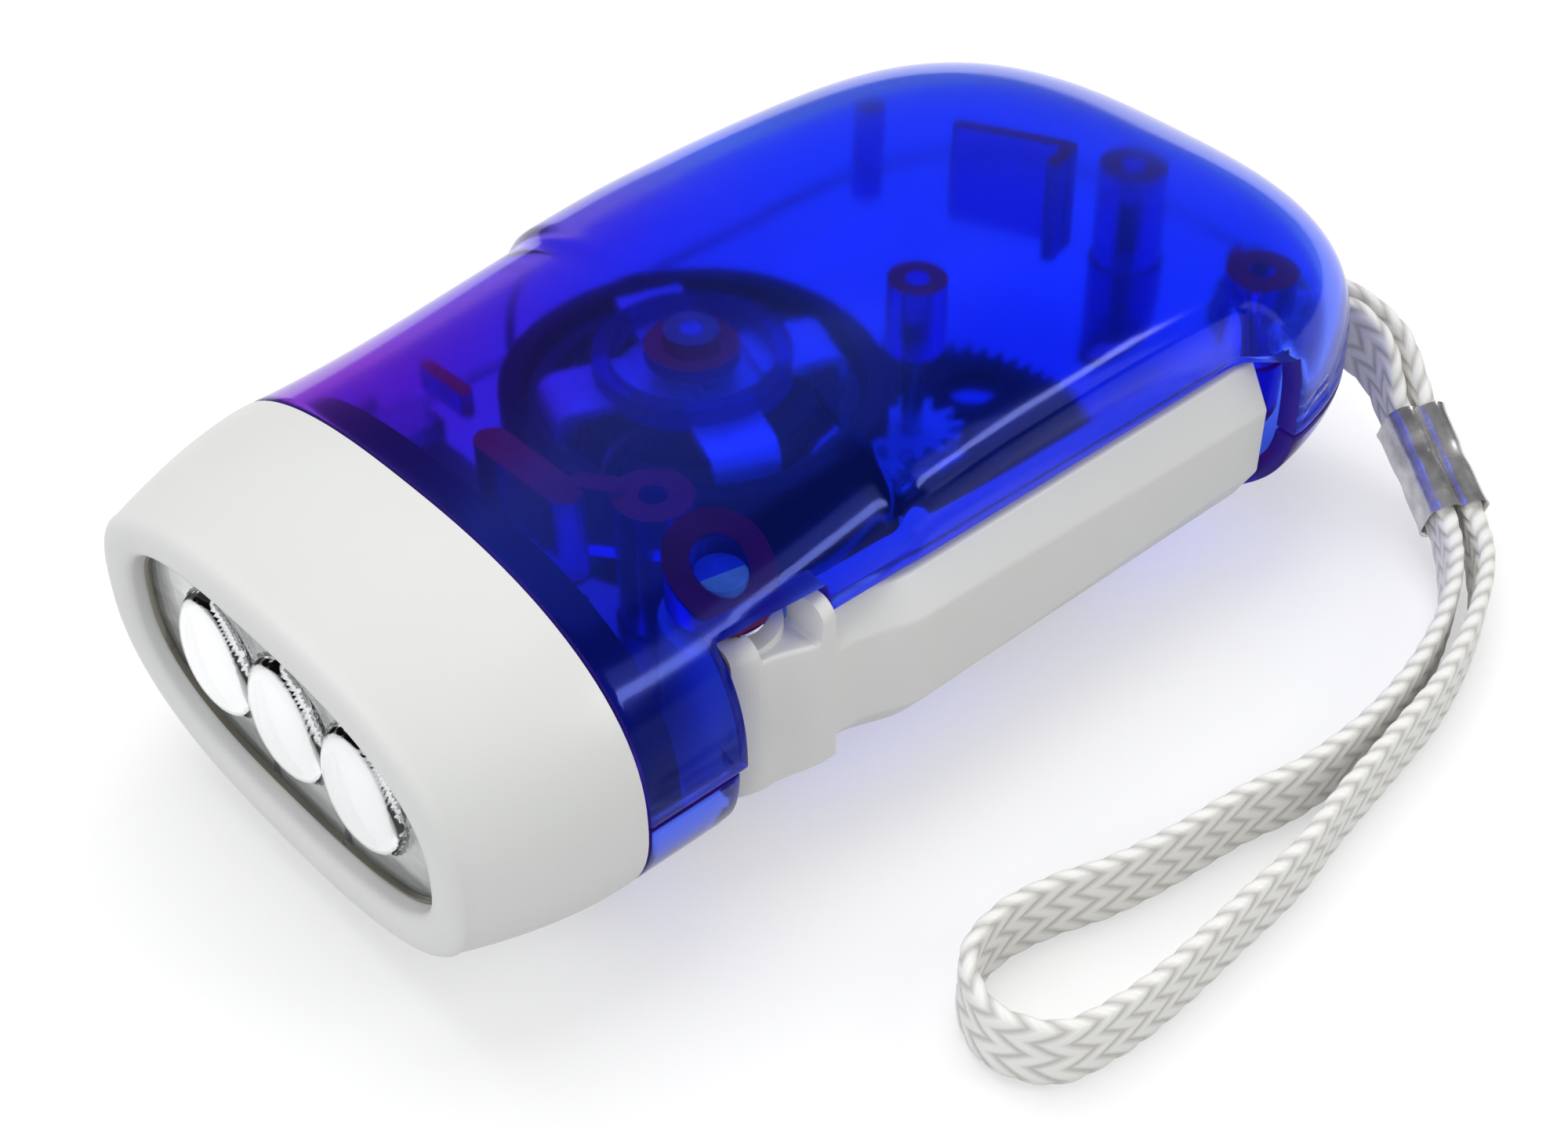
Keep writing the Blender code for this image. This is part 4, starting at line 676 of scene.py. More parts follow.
# Finger recess: draws a point's x in where the grip is
def gripped(x, y, drop, inset, upper):
    h = housing
    frontRun, tailRun = h["gripRuns"]
    out = stepAfter(y, h["gripTailY"], tailRun)
    limit = h["gripX"] - inset
    into = stepAfter(y, h["gripFrontY"] - frontRun / 2, frontRun)
    if not upper:
        deeper = h["undercutNeck"] * (1 - stepAfter(y, *h["undercutStep"]))
        deeper += h["undercutSlope"] * max(0.0, drop - h["undercutDepth"]) + h["undercutWall"] * inset
        limit = min(limit, h["undercutX"] - deeper)
        into = stepAfter(y, h["undercutFrontY"] - h["stepRun"] / 2, h["stepRun"])
    over = (x - limit - h["gripRelease"] * (1 - into * (1 - out))) / h["gripSoftness"]
    if over > -8:  # farther in, the pull is too small to see
        x -= h["gripSoftness"] * (over if over > 30 else math.log1p(math.exp(over)))
    return x


def shellPoint(angle, y, inset, upper):
    width, tall, power = sectionAt(y, inset, upper)
    if width < 1e-4 or tall < 1e-4:
        return Vector((0.0, y, seamZ))
    across, up = abs(math.cos(angle)), abs(math.sin(angle))
    reach = ((across / width) ** power + (up / tall) ** power) ** (-1 / power)
    drop = max(reach * up, min(housing["halfGap"], tall))
    x = gripped(reach * math.cos(angle), y, drop, inset, upper)
    z = seamZ + drop if upper else seamZ - drop
    if not upper and inset == 0.0:
        z = max(z, 0.0)
    return Vector((x, y, z))


# Height of the shell's inner side over a plan point, on the crown or the belly
def roofAt(x, y, inset, upper):
    width, tall, power = sectionAt(y, inset, upper)
    share = min(abs(x) / max(width, 1e-4), 0.999)
    drop = tall * (1 - share**power) ** (1 / power)
    return seamZ + drop if upper else seamZ - drop


def shellStations(inset):
    h = housing
    places = []
    ends = [h[key] for key, count in h["rows"]] + [h["slotTailY"]]
    for (key, count), start, end in zip(h["rows"], ends, ends[1:]):
        places += [start + (end - start) * step / count for step in range(count)]
    reach = h["tailY"] - inset - h["slotTailY"]
    for step in range(h["tailRows"] + 1):
        places.append(h["slotTailY"] + reach * math.sin(math.pi / 2 * step / h["tailRows"]))
    return places


# Angle on the section at which its height over the seam is drop
def angleOf(drop, y, inset, upper):
    width, tall, power = sectionAt(min(y, housing["slotTailY"]), inset, upper)
    x = width * (1 - min(drop / tall, 0.98) ** power) ** (1 / power)
    return math.atan2(drop, x)


# One side of a half shell, with the lever's slot and notch left open
def skin(bm, inset, upper):
    h = housing
    places = shellStations(inset)
    around, slotRow, notchRow = h["around"], h["slotRow"], h["notchRow"]

    def place(column, row):
        y = places[row]
        slotAngle = angleOf(h["slotHalf"], y, inset, upper)
        notchAngle = angleOf(h["notchHalf"], y, inset, upper)
        if column <= slotRow:
            angle = slotAngle * column / slotRow
        elif column <= notchRow:
            angle = blendOf(slotAngle, notchAngle, (column - slotRow) / (notchRow - slotRow))
        else:
            angle = blendOf(notchAngle, math.pi, (column - notchRow) / (around - notchRow))
        return shellPoint(angle, y, inset, upper)

    cells = mappedSheet(bm, around, len(places) - 1, place)
    gone = []
    for face in facesOf(cells):
        column = min(cells[vert][0] for vert in face.verts)
        y = places[min(cells[vert][1] for vert in face.verts)] + 0.01
        inSlot = column < slotRow and h["slotFrontY"] < y < h["slotTailY"]
        inNotch = column < notchRow and h["slotFrontY"] < y < h["notchTailY"]
        if inSlot or inNotch:
            gone.append(face)
    bmesh.ops.delete(bm, geom=gone, context="FACES")


def housingCutters(upper):
    bm = bmesh.new()
    addBlock(bm, *openings["button"])
    made = [cutterFrom("buttonWindow", bm)]
    bm = bmesh.new()
    addBlock(bm, *openings["strap"])
    turn = Matrix.Rotation(math.radians(openings["strapTurn"]), 3, "Z")
    bmesh.ops.rotate(bm, cent=(0, 0, 0), matrix=turn, verts=bm.verts)
    bmesh.ops.translate(bm, vec=Vector(openings["strapPlace"]) * mm, verts=bm.verts)
    made.append(cutterFrom("strapWindow", bm))
    if not upper:
        for index, (x, y) in enumerate(screwPlaces):
            bm = bmesh.new()
            turnProfile(bm, (x, y, 0.0), openings["screw"], 40, closed=False)
            made.append(cutterFrom(f"screwBore{index}", bm))
    return made


def makeShell(name, node, upper):
    bm = bmesh.new()
    skin(bm, 0.0, upper)
    skin(bm, housing["wall"], upper)
    mergeClose(bm, 0.004)
    bm.faces.ensure_lookup_table()
    for face in bmesh.ops.bridge_loops(bm, edges=rimEdges(bm))["faces"]:
        face.material_index = 1
    bmesh.ops.recalc_face_normals(bm, faces=bm.faces)

    def rounded(edge):
        return max(vert.co.y for vert in edge.verts) < housing["roundUpTo"] * mm

    softenEdges(bm, housing["edgeRound"], housing["edgeAngle"], 2, rounded)
    shell = finishPiece(name, bm, ["clearBlue", "edgeBlue"], "housing", "blue_plastic", [node])
    carve(shell, housingCutters(upper))


makeShell("upperShell", "upper_shell", True)
makeShell("lowerShell", "lower_shell", False)
print("shells made")

# Posts and ribs stand from the crown or the belly; their roots follow its inner side

ribFit = {"sink": 0.35, "shortest": 0.6, "parting": 0.02, "deep": 2.6}
# Coats 1 and 4 are painted shade for the dark ends, 4 with a painted glow
ribCoats = ["postBlue", "paintedShadeTop", "faintBlue", "edgeBlue", "paintedShadeGlow"]
upperRibs = {
    "posts": (
        # place, outer and inner radius, lower end, depth of the dark end
        (screwPlaces[0], 3.2, 1.15, 16.15, 2.8),
        (screwPlaces[1], 3.2, 1.15, 16.15, 2.0),
        (screwPlaces[2], 3.2, 1.15, 16.15, 2.4),
        (gearPlace, 2.6, 1.05, 21.0, 6.4),
        (pivotPlace, 4.2, 2.2, 24.8, 2.8),
        ((13.0, 41.5), 2.4, 1.25, 19.1, 4.5),
        ((-22.6, 27.0), 1.5, 0.0, 17.0, 0.3),
    ),
    "ribs": (
        # start, end, thickness, lower end
        ((-12.4, 28.0), (-2.0, 33.0), 1.3, 19.0),
        ((-2.4, 33.4), (-1.2, 29.0), 1.3, 19.0),
        ((-4.8, -31.7), (6.8, -31.5), 3.0, 20.6),
        ((-23.0, -35.6), (-16.0, -35.6), 1.3, 20.0),
        ((-23.0, -25.2), (-16.0, -25.2), 1.3, 20.0),
        ((8.0, -27.7), (4.6, -30.4), 1.8, 22.0),
    ),
    "rings": (
        # place, outer and inner radius, lower end, height of the dark end, coats of side and end
        (rotorPlace, 8.4, 7.0, 23.5, 25.6, (3, 0)),
        (rotorPlace, 4.0, 2.45, 25.0, 26.2, (3, 4)),
    ),
}
lowerRibs = {
    "posts": (
        (screwPlaces[0], 3.5, 2.75, 15.85, 0.0),
        (screwPlaces[1], 3.5, 2.75, 15.85, 0.0),
        (screwPlaces[2], 3.5, 2.75, 15.85, 0.0),
        (rotorPlace, 4.0, 2.45, 6.9, 0.0),
        (gearPlace, 2.6, 1.05, 6.9, 0.0),
        ((13.0, 41.5), 2.4, 1.25, 10.9, 0.0),
        (pivotPlace, 2.7, 1.55, 8.4, 0.0),
    ),
    "ribs": (
        ((-10.0, -36.5), (-10.0, -29.2), 1.4, 4.0),
        ((2.0, -36.5), (2.0, -29.2), 1.4, 4.0),
        ((-21.6, -34.0), (-21.6, -26.0), 2.6, 13.2),
        ((-15.0, -36.5), (-15.0, -29.5), 1.2, 18.4),
        ((6.4, -36.5), (6.4, -31.0), 1.2, 18.4),
    ),
    "rings": (),
}


def raiseFromPlan(bm, plan, level, topOf, sideIndex, topIndex):
    faces = plan(bm)
    for vert in {vert for face in faces for vert in face.verts}:
        vert.co.z = level * mm
    moved, tops = extruded(bm, faces)
    for vert in moved:
        vert.co.z = topOf(vert.co.x / mm, vert.co.y / mm) * mm
    for face in facesOf(moved) | {face for face in faces if face.is_valid}:
        face.material_index = sideIndex
    for face in tops:
        face.material_index = topIndex


# The light shows each post's full depth as a dark end below the crown, here painted as shade on the post;
# above it the post fades
def raiseRib(bm, plan, level, upper, rootDrop, indexes=(0, 4), rootZ=None):
    def roof(x, y):
        return roofAt(x, y, housing["wall"] - ribFit["sink"], upper)

    if not upper:
        raiseFromPlan(bm, plan, level, roof, *indexes)
        return
    corners = {vert for face in plan(bm) for vert in face.verts}
    lowest = min(roof(vert.co.x / mm, vert.co.y / mm) for vert in corners)
    bmesh.ops.delete(bm, geom=list(corners), context="VERTS")
    dark = lowest - rootDrop if rootZ is None else rootZ
    if dark > level + ribFit["shortest"]:
        raiseFromPlan(bm, plan, level, lambda x, y: dark, *indexes)
        raiseFromPlan(bm, plan, dark + ribFit["parting"], roof, 2, 2)
    else:
        raiseFromPlan(bm, plan, level, roof, indexes[0], 1)


def postPlan(centre, outer, inner, sides=36):
    place = Matrix.Translation(Vector((*centre, 0.0)) * mm)

    def ring(bm, radius, filled):
        made = bmesh.ops.create_circle(
            bm, cap_ends=filled, segments=sides, radius=radius * mm, matrix=place
        )
        return made["verts"]

    def plan(bm):
        verts = ring(bm, outer, not inner)
        if not inner:
            return facesOf(verts)
        verts += ring(bm, inner, False)
        edges = {edge for vert in verts for edge in vert.link_edges}
        return bmesh.ops.bridge_loops(bm, edges=list(edges))["faces"]

    return plan


def ribPlan(start, end, thickness):
    start, end = Vector((*start, 0.0)), Vector((*end, 0.0))
    span = end - start
    place = Matrix.Translation((start + end) / 2 * mm)
    place = place @ Matrix.Rotation(math.atan2(span.y, span.x), 4, "Z")
    half = thickness / 2

    def plan(bm):
        made = bmesh.ops.create_grid(bm, x_segments=24, y_segments=2, size=0.5)
        for vert in made["verts"]:
            x, y = vert.co.x * span.length, vert.co.y * thickness
            over = max(0.0, abs(x) - span.length / 2 + half) / half
            vert.co = Vector((x, y * math.sqrt(max(0.05, 1 - over * over)), 0.0)) * mm
        bmesh.ops.transform(bm, matrix=place, verts=made["verts"])
        return facesOf(made["verts"])

    return plan


def makeRibs(name, ribs, upper):
    bm = bmesh.new()
    for centre, outer, inner, level, depth in ribs["posts"]:
        raiseRib(bm, postPlan(centre, outer, inner), level, upper, depth)
    for start, end, thickness, level in ribs["ribs"]:
        raiseRib(bm, ribPlan(start, end, thickness), level, upper, ribFit["deep"])
    for centre, outer, inner, level, rootZ, indexes in ribs["rings"]:
        raiseRib(bm, postPlan(centre, outer, inner, 64), level, upper, 0.0, indexes, rootZ)
    finishPiece(name, bm, ribCoats, "housing", "blue_plastic")


makeRibs("upperShellRibs", upperRibs, True)
makeRibs("lowerShellRibs", lowerRibs, False)
print("posts and ribs made")

# Head

head = {
    "frontY": -56.5, "backY": -41.8, "frontHalfWidth": 23.4, "frontHalfHeight": 12.6,
    "apertureHalfWidth": 19.8, "apertureHalfHeight": 9.1,
    "powers": (2.5, 2.1),  # of the section's upper and lower half at the back
    "aperturePower": 2.7, "bowPower": 1.6, "rimBluntness": 0.8, "lipDepth": 1.9, "rimDepth": 1.2,
    "outerRings": 22, "rimRings": 18,
    "seatRoom": 1.7,  # how much wider than the aperture the window's seat is
    "seatDepth": 2.2, "sleeveInset": 2.3,
    "sleeve": ((-45.5, 1.4), (-37.6, 1.4), (-37.5, 1.3), (-37.5, 0.1), (-37.6, 0.0), (-41.8, 0.0)),
    "around": 144,
}


def ovalPoint(share, y, halfWidth, halfHeight, power, lowPower):
    angle = circle * (share % 1.0)
    bend = power if math.sin(angle) > 0 else lowPower
    across, up = abs(math.cos(angle)), abs(math.sin(angle))
    reach = ((across / halfWidth) ** bend + (up / halfHeight) ** bend) ** (-1 / bend)
    return reach * math.cos(angle), y, seamZ + reach * math.sin(angle)


# Rings of the head's closed section as (y, half width, half height, power, lower power)
def headRings():
    h = head
    deep = h["backY"] - h["frontY"]
    power, lowPower = h["powers"]
    rings = []
    for index in range(h["outerRings"] + 1):
        part = (1 - h["rimDepth"] / deep) * index / h["outerRings"]
        bow = 1 - part ** h["bowPower"]
        width = blendOf(h["frontHalfWidth"], housing["neckHalfWidth"], bow)
        height = blendOf(h["frontHalfHeight"], housing["neckHalfHeight"], bow)
        rings.append((h["backY"] - part * deep, width, height, power, blendOf(lowPower, power, part)))
    rim, rimTall = width - h["apertureHalfWidth"] - 0.1, height - h["apertureHalfHeight"] - 0.1
    for index in range(1, h["rimRings"] + 1):
        lean = math.pi * index / h["rimRings"]
        inward = (1 - math.cos(lean)) / 2
        y = h["frontY"] + h["rimDepth"] * (1 - math.sin(lean) ** h["rimBluntness"])
        bend = blendOf(power, h["aperturePower"], inward)
        rings.append((y, width - rim * inward, height - rimTall * inward, bend, bend))
    lipY = h["frontY"] + h["lipDepth"]
    seatY = lipY + h["seatDepth"]
    lip, seat = (lipY - 0.4, lipY - 0.1, lipY), (lipY, lipY + 0.1, seatY - 0.1, seatY)
    for y, room in [(y, 0.0) for y in lip] + [(y, h["seatRoom"]) for y in seat]:
        width, height = h["apertureHalfWidth"] + room, h["apertureHalfHeight"] + room
        rings.append((y, width, height, h["aperturePower"], h["aperturePower"]))
    width, height = housing["neckHalfWidth"] - h["sleeveInset"], housing["neckHalfHeight"] - h["sleeveInset"]
    return rings + [(y, width - thinner, height - thinner, power, lowPower) for y, thinner in h["sleeve"]]


def makeHead():
    around, rings = head["around"], headRings()

    def place(column, row):
        return ovalPoint(column / around, *rings[row % len(rings)])

    bm = bmesh.new()
    mappedSheet(bm, around, len(rings), place)
    mergeClose(bm, 0.001)
    # The sleeve behind the head's back takes the painted shade
    for face in bm.faces:
        face.material_index = 1 if face.calc_center_median().y > (head["backY"] + 0.3) * mm else 0
    coats = ["paleGrey", "shadedSleeve"]
    finishPiece("headShell", bm, coats, "housing", "grey_plastic", ["head_shell"], 48.0)


makeHead()

# Window with its three lenses

window = {
    "frontY": -54.3, "thickness": 1.4, "halfWidth": 21.2, "halfHeight": 10.5, "power": 2.7,
    "lensRadius": 4.75, "lensTall": 5.7, "lensRise": 2.15,
    "hollow": 0.85,  # the back of a bulge follows this share of its rise
    "across": 200, "along": 96,
    "crowding": 0.35,  # share by which the rows crowd towards the rim
}


def lensRise(x, z):
    highest = 0.0
    for index in lampIndexes:
        across = (x - index * lampPitch) / window["lensRadius"]
        up = (z - seamZ) / window["lensTall"]
        left = 1 - across * across - up * up
        if left > 0:
            highest = max(highest, window["lensRise"] * math.sqrt(left))
    return highest


def makeWindow():
    w = window

    def crowded(share):
        return blendOf(2 * share - 1, math.sin(math.pi * (share - 0.5)), w["crowding"])

    def place(column, row):
        side, up = crowded(column / w["across"]), crowded(row / w["along"])
        tall = max(0.0, 1 - abs(side) ** w["power"]) ** (1 / w["power"])
        x, z = w["halfWidth"] * side, seamZ + w["halfHeight"] * tall * up
        return x, w["frontY"] - lensRise(x, z), z

    bm = bmesh.new()
    mappedSheet(bm, w["across"], w["along"], place)
    for vert in extruded(bm, bm.faces[:])[0]:
        rise = lensRise(vert.co.x / mm, vert.co.z / mm)
        vert.co.y = (w["frontY"] + w["thickness"] - w["hollow"] * rise) * mm
    mergeClose(bm)
    finishPiece("lensWindow", bm, ["lensClear"], "housing", "clear_plastic", ["lens_window"], 50.0)


makeWindow()

# Painted shade: a dark ring standing for the shaded gap between the window and the head's lip, as rings of y
# and how far it stays off the lip

shadeRing = {
    "rings": ((-54.75, 0.05), (-54.8, 0.15), (-54.7, 0.25), (-54.35, 0.3), (-54.35, 0.05)),
    "around": 120,
}


def makeShadeRing():
    rings = shadeRing["rings"]

    def place(column, row):
        y, off = rings[row % len(rings)]
        width, height = head["apertureHalfWidth"] - off, head["apertureHalfHeight"] - off
        return ovalPoint(column / shadeRing["around"], y, width, height, window["power"], window["power"])

    bm = bmesh.new()
    mappedSheet(bm, shadeRing["around"], len(rings), place)
    mergeClose(bm, 0.001)
    finishPiece("lensShadeRing", bm, ["shadeRingOlive"], "housing", "grey_plastic")


makeShadeRing()

# Reflector: three faceted cups in a pearly plate

cups = {
    "frontY": -52.8, "recess": 0.2, "recessFade": 5.0, "halfWidth": 21.0, "halfHeight": 10.3,
    "power": 2.7, "holeRadius": 2.85, "cupRadius": 4.7, "depth": 5.6, "thickness": 0.35,
    "sectors": 24,
    "shares": (0.0, 0.22, 0.46, 0.72, 1.0, 1.35, 1.8, 2.0),  # to 1 in the cup, to 2 on the plate
}


# Distance from a cup's middle to the edge of its own field
def fieldEdge(index, angle):
    c = cups
    side, up = math.cos(angle), math.sin(angle)
    far = 40.0
    if index < 1 and side > 1e-6 or index > -1 and side < -1e-6:
        far = lampPitch / 2 / abs(side)
    near = 0.0
    for _ in range(30):
        middle = (near + far) / 2
        x, z = index * lampPitch + middle * side, middle * up
        inside = abs(x / c["halfWidth"]) ** c["power"] + abs(z / c["halfHeight"]) ** c["power"] < 1
        near, far = (middle, far) if inside else (near, middle)
    return near


def makeReflector():
    c = cups
    bm = bmesh.new()
    for index in lampIndexes:
        def place(column, row, index=index):
            angle = circle * ((column % c["sectors"]) + 0.5) / c["sectors"]
            edge, share = fieldEdge(index, angle), c["shares"][row]
            cup = min(c["cupRadius"], edge)
            if share <= 1.0:
                reach = blendOf(c["holeRadius"], cup, share)
            else:
                reach = blendOf(cup, edge, share - 1.0)
            inCup = max(0.0, c["cupRadius"] ** 2 - reach**2) / (c["cupRadius"] ** 2 - c["holeRadius"] ** 2)
            beyond = stepAfter(reach, c["cupRadius"], c["recessFade"])
            y = c["frontY"] + c["recess"] * (1 - beyond) + (c["depth"] - c["recess"]) * inCup
            return index * lampPitch + reach * math.cos(angle), y, seamZ + reach * math.sin(angle)

        mappedSheet(bm, c["sectors"], len(c["shares"]) - 1, place)
    mergeClose(bm, 0.01)
    bmesh.ops.recalc_face_normals(bm, faces=bm.faces)
    bmesh.ops.solidify(bm, geom=bm.faces[:], thickness=c["thickness"] * mm)
    for face in bm.faces:
        middle = face.calc_center_median() / mm
        near = min(math.hypot(middle.x - index * lampPitch, middle.z - seamZ) for index in lampIndexes)
        face.material_index = 1 if near > c["cupRadius"] - 0.1 else 0
    finishPiece("reflector", bm, ["mirrorCoat", "pearlCoat"], "housing", "chrome", ["reflector"], 0.0)


makeReflector()
print("head, window and reflector made")

# LEDs: a clear domed body, its flange, and the bright die cup with its lead inside

led = {
    "radius": 2.5, "length": 6.6, "footY": -45.1,
    "flange": ((2.5, -1.0), (2.55, -0.92), (2.85, -0.9), (2.85, 0.0), (0.0, 0.0)),
    "die": (
        (0.0, -2.9), (0.45, -2.9), (0.8, -3.3), (0.9, -3.3),
        (0.9, -2.2), (0.5, -1.9), (0.5, -0.2), (0.0, -0.2),
    ),
    "dieX": -0.4,
    "lead": ((0.75, -3.2, -0.25), (1.2, -0.2, 0.25)),
}


def makeLeds():
    lengthwise = (0, 1, 0)
    dome = []
    for step in range(9):
        lean = math.pi / 2 * step / 8
        fall = led["length"] - led["radius"] * (1 - math.cos(lean))
        dome.append((led["radius"] * math.sin(lean), -fall))
    frames = bmesh.new()
    for index, side in zip(lampIndexes, ("Left", "Middle", "Right")):
        foot = Vector((index * lampPitch, led["footY"], seamZ))
        bm = bmesh.new()
        turnProfile(bm, foot, (*dome, *led["flange"]), 40, lengthwise, closed=False)
        finishPiece(f"led{side}", bm, ["ledClear"], "housing", "clear_plastic", [f"led_{side.lower()}"])
        turnProfile(frames, foot + Vector((led["dieX"], 0, 0)), led["die"], 24, lengthwise, closed=False)
        addBlock(frames, *(foot + Vector(corner) for corner in led["lead"]), 0.05, 1)
    finishPiece("ledLeadFrames", frames, ["brightSteel"], "housing", "steel", (), 38.0)


makeLeds()

# Lever: the arm with its slanted edges, the stepped neck with two humps, the hub and the toothed sector

lever = {
    "sideHalf": 7.3, "backX": 20.6, "slope": 2.2, "frontHalf": 4.3, "tailHalf": 3.3, "faceX": 27.2,
    "neckX": 25.5, "hubX": 24.6,
    "hubEnd": (-27.9, 5.0),  # start and run, as in the next three
    "armStart": (-20.5, 6.5),
    "taper": (-16.0, 40.5),
    "sideStep": (-23.0, 2.0),
    "sideDrop": 0.25,
    "rows": ((-22.0, 0.46, 26), (-10.0, 4.6, 9)),  # start, step and count along the arm
    "channelWall": 1.6, "channelDepth": 3.6, "round": 0.45, "roundAngle": 24.0,
    "roundFrom": (21.5, -21.9),  # x and y
    "neckTop": (
        (-31.0, 8.2), (-28.9, 8.6), (-28.75, 8.2), (-28.6, 6.8), (-24.0, 6.1), (-23.55, 6.4), (-23.4, 9.1),
        (-22.35, 9.5), (-22.2, 9.2), (-22.1, 6.0), (-22.0, 6.0),
    ),
    "neckRows": 18, "neckSide": 7.0, "neckCorner": 0.5, "neckBack": 0.9,
    "humpFrom": 7.8,  # higher than this, the top counts as a hump
    "neckRound": 5.6,  # radius of the neck's front about the pivot
    "humpRound": 1.5,
    "hub": (
        (1.55, 7.3), (4.4, 7.3), (4.7, 7.2), (4.8, 6.9), (4.8, -6.9), (4.7, -7.2), (4.4, -7.3), (1.55, -7.3),
    ),
    "sectorZ": 10.1, "sectorThickness": 2.0, "sectorTeeth": 104, "sectorShown": 9,
    "sectorInner": 4.0,
    "sectorRings": (3.2, 1.4),  # how far inside the pitch circle
    "module": 0.7,
    "toothTip": 0.85,  # over the pitch circle, in modules
    "toothRoot": 1.15,
    "toothFlank": (0.14, 0.2),
    "toothSteps": 10,
}


def leverFace(y):
    first = blendOf(lever["hubX"], lever["neckX"], stepAfter(y, *lever["hubEnd"]))
    return blendOf(first, lever["faceX"], stepAfter(y, *lever["armStart"]))


# One upright section of the arm as six corners in x and height over the seam
def leverSection(y):
    v = lever
    face = leverFace(y)
    half = blendOf(v["frontHalf"], v["tailHalf"], stepAfter(y, *v["taper"]))
    side = v["sideHalf"] - v["sideDrop"] * (1 - stepAfter(y, *v["sideStep"]))
    corners = ((v["backX"], side), (face - v["slope"], side), (face, half))
    return [(x, -up) for x, up in corners] + list(reversed(corners))


# The arm is a channel, open towards the housing
def addArm(bm):
    v = lever
    places = [start + step * index for start, step, count in v["rows"] for index in range(count)]

    def place(column, row):
        x, height = leverSection(places[row])[column % 6]
        return x, places[row], seamZ + height

    mappedSheet(bm, 6, len(places) - 1, place)
    mergeClose(bm, 0.001)
    capRims(bm)
    bmesh.ops.recalc_face_normals(bm, faces=bm.faces)
    backs = [face for face in bm.faces if face.normal.x < -0.9]
    inner = bmesh.ops.inset_region(bm, faces=backs, thickness=v["channelWall"] * mm, use_even_offset=True)
    floor = [face for face in bm.faces if face.normal.x < -0.9 and face not in inner["faces"]]
    moved = extruded(bm, floor)[0]
    bmesh.ops.delete(bm, geom=floor, context="FACES")
    bmesh.ops.translate(bm, vec=(v["channelDepth"] * mm, 0, 0), verts=moved)
    bmesh.ops.recalc_face_normals(bm, faces=bm.faces)

    def rounded(edge):
        farX, farY = (max(vert.co[axis] for vert in edge.verts) / mm for axis in (0, 1))
        return farX > v["roundFrom"][0] and farY > v["roundFrom"][1]

    softenEdges(bm, v["round"], v["roundAngle"], 4, rounded)


# Neck: one flush outer face whose top rises in two humps with a groove between them
def addNeck(bm):
    v = lever
    marks = v["neckTop"]
    firstY = marks[0][0]
    rows = sorted({y for y, top in marks} | {firstY + 0.5 * step for step in range(v["neckRows"])})

    def neckTop(y):
        for (lowY, low), (highY, high) in zip(marks, marks[1:]):
            if y <= highY:
                return blendOf(low, high, (y - lowY) / (highY - lowY))
        return marks[-1][1]

    def place(column, row):
        y = rows[row]
        face, top, foot = leverFace(y), neckTop(y), seamZ - v["neckSide"]
        if y < pivotPlace[1]:
            face = pivotPlace[0] + math.sqrt(v["neckRound"] ** 2 - (y - pivotPlace[1]) ** 2)
        corner = v["neckCorner"]
        turn = v["humpRound"] if top > v["humpFrom"] else corner
        if column < 3:
            return ((v["backX"], y, foot), (face - corner, y, foot), (face, y, foot + corner))[column]
        if column < 12:
            lean = math.pi / 2 * (column - 3) / 8
            return face - turn * (1 - math.cos(lean)), y, seamZ + top - turn * (1 - math.sin(lean))
        return v["backX"] + v["neckBack"], y, seamZ + top if column == 12 else foot

    mappedSheet(bm, 13, len(rows) - 1, place)
    mergeClose(bm, 0.001)
    capRims(bm)
    turnProfile(bm, (*pivotPlace, seamZ), v["hub"], 56)


# Toothed sector: a plate between its bore and its teeth
def addSector(bm):
    v = lever
    pitch = v["sectorTeeth"] * v["module"] / 2
    root, tip = pitch - v["toothRoot"] * v["module"], pitch + v["toothTip"] * v["module"]
    rings = [v["sectorInner"]] + [pitch - inside for inside in v["sectorRings"]]
    step = circle / v["sectorTeeth"]
    first = math.atan2(gearPlace[1] - pivotPlace[1], gearPlace[0] - pivotPlace[0]) - step
    columns = v["sectorShown"] * v["toothSteps"]

    def place(column, row):
        turned = column / v["toothSteps"]
        wave = (turned - 0.5) % 1.0
        lift = stepAfter(abs(wave - 0.5), *v["toothFlank"])
        reach = (*rings, blendOf(root, tip, lift))[row]
        angle = first + turned * step
        x, y = pivotPlace[0] + reach * math.cos(angle), pivotPlace[1] + reach * math.sin(angle)
        return x, y, v["sectorZ"]

    plate = facesOf(mappedSheet(bm, columns, 3, place))
    moved = extruded(bm, plate)[0]
    bmesh.ops.translate(bm, vec=(0, 0, v["sectorThickness"] * mm), verts=moved)


def makeLever():
    bm = bmesh.new()
    addArm(bm)
    addNeck(bm)
    addSector(bm)
    finishPiece("squeezeLever", bm, ["paleGrey"], "lever", "grey_plastic", ["lever"], 30.0)


makeLever()


# A piece of plain blocks, each two corners and its rounding, and of turned profiles
def makePlain(name, settings):
    bm = bmesh.new()
    for block in settings.get("blocks", ()):
        addBlock(bm, *block)
    for place in settings.get("places", ()):
        turnProfile(bm, place, settings["profile"], settings["steps"], closed=False)
    coat, *rest = settings["made"]
    finishPiece(name, bm, [coat], *rest, sharp=settings.get("sharp", 40.0))


leverPin = {
    "made": ("pinEnd", "housing", "steel", ["lever_pin"]),
    "profile": (
        (0.0, 27.5), (1.9, 27.5), (2.1, 27.3), (2.1, 25.2), (1.45, 25.0), (1.45, 6.1), (1.3, 6.0), (0.0, 6.0),
    ),
    "places": ((*pivotPlace, 0.0),),
    "steps": 40,
}
makePlain("leverPin", leverPin)
print("lever made")

# Slide button with its thumb ridges

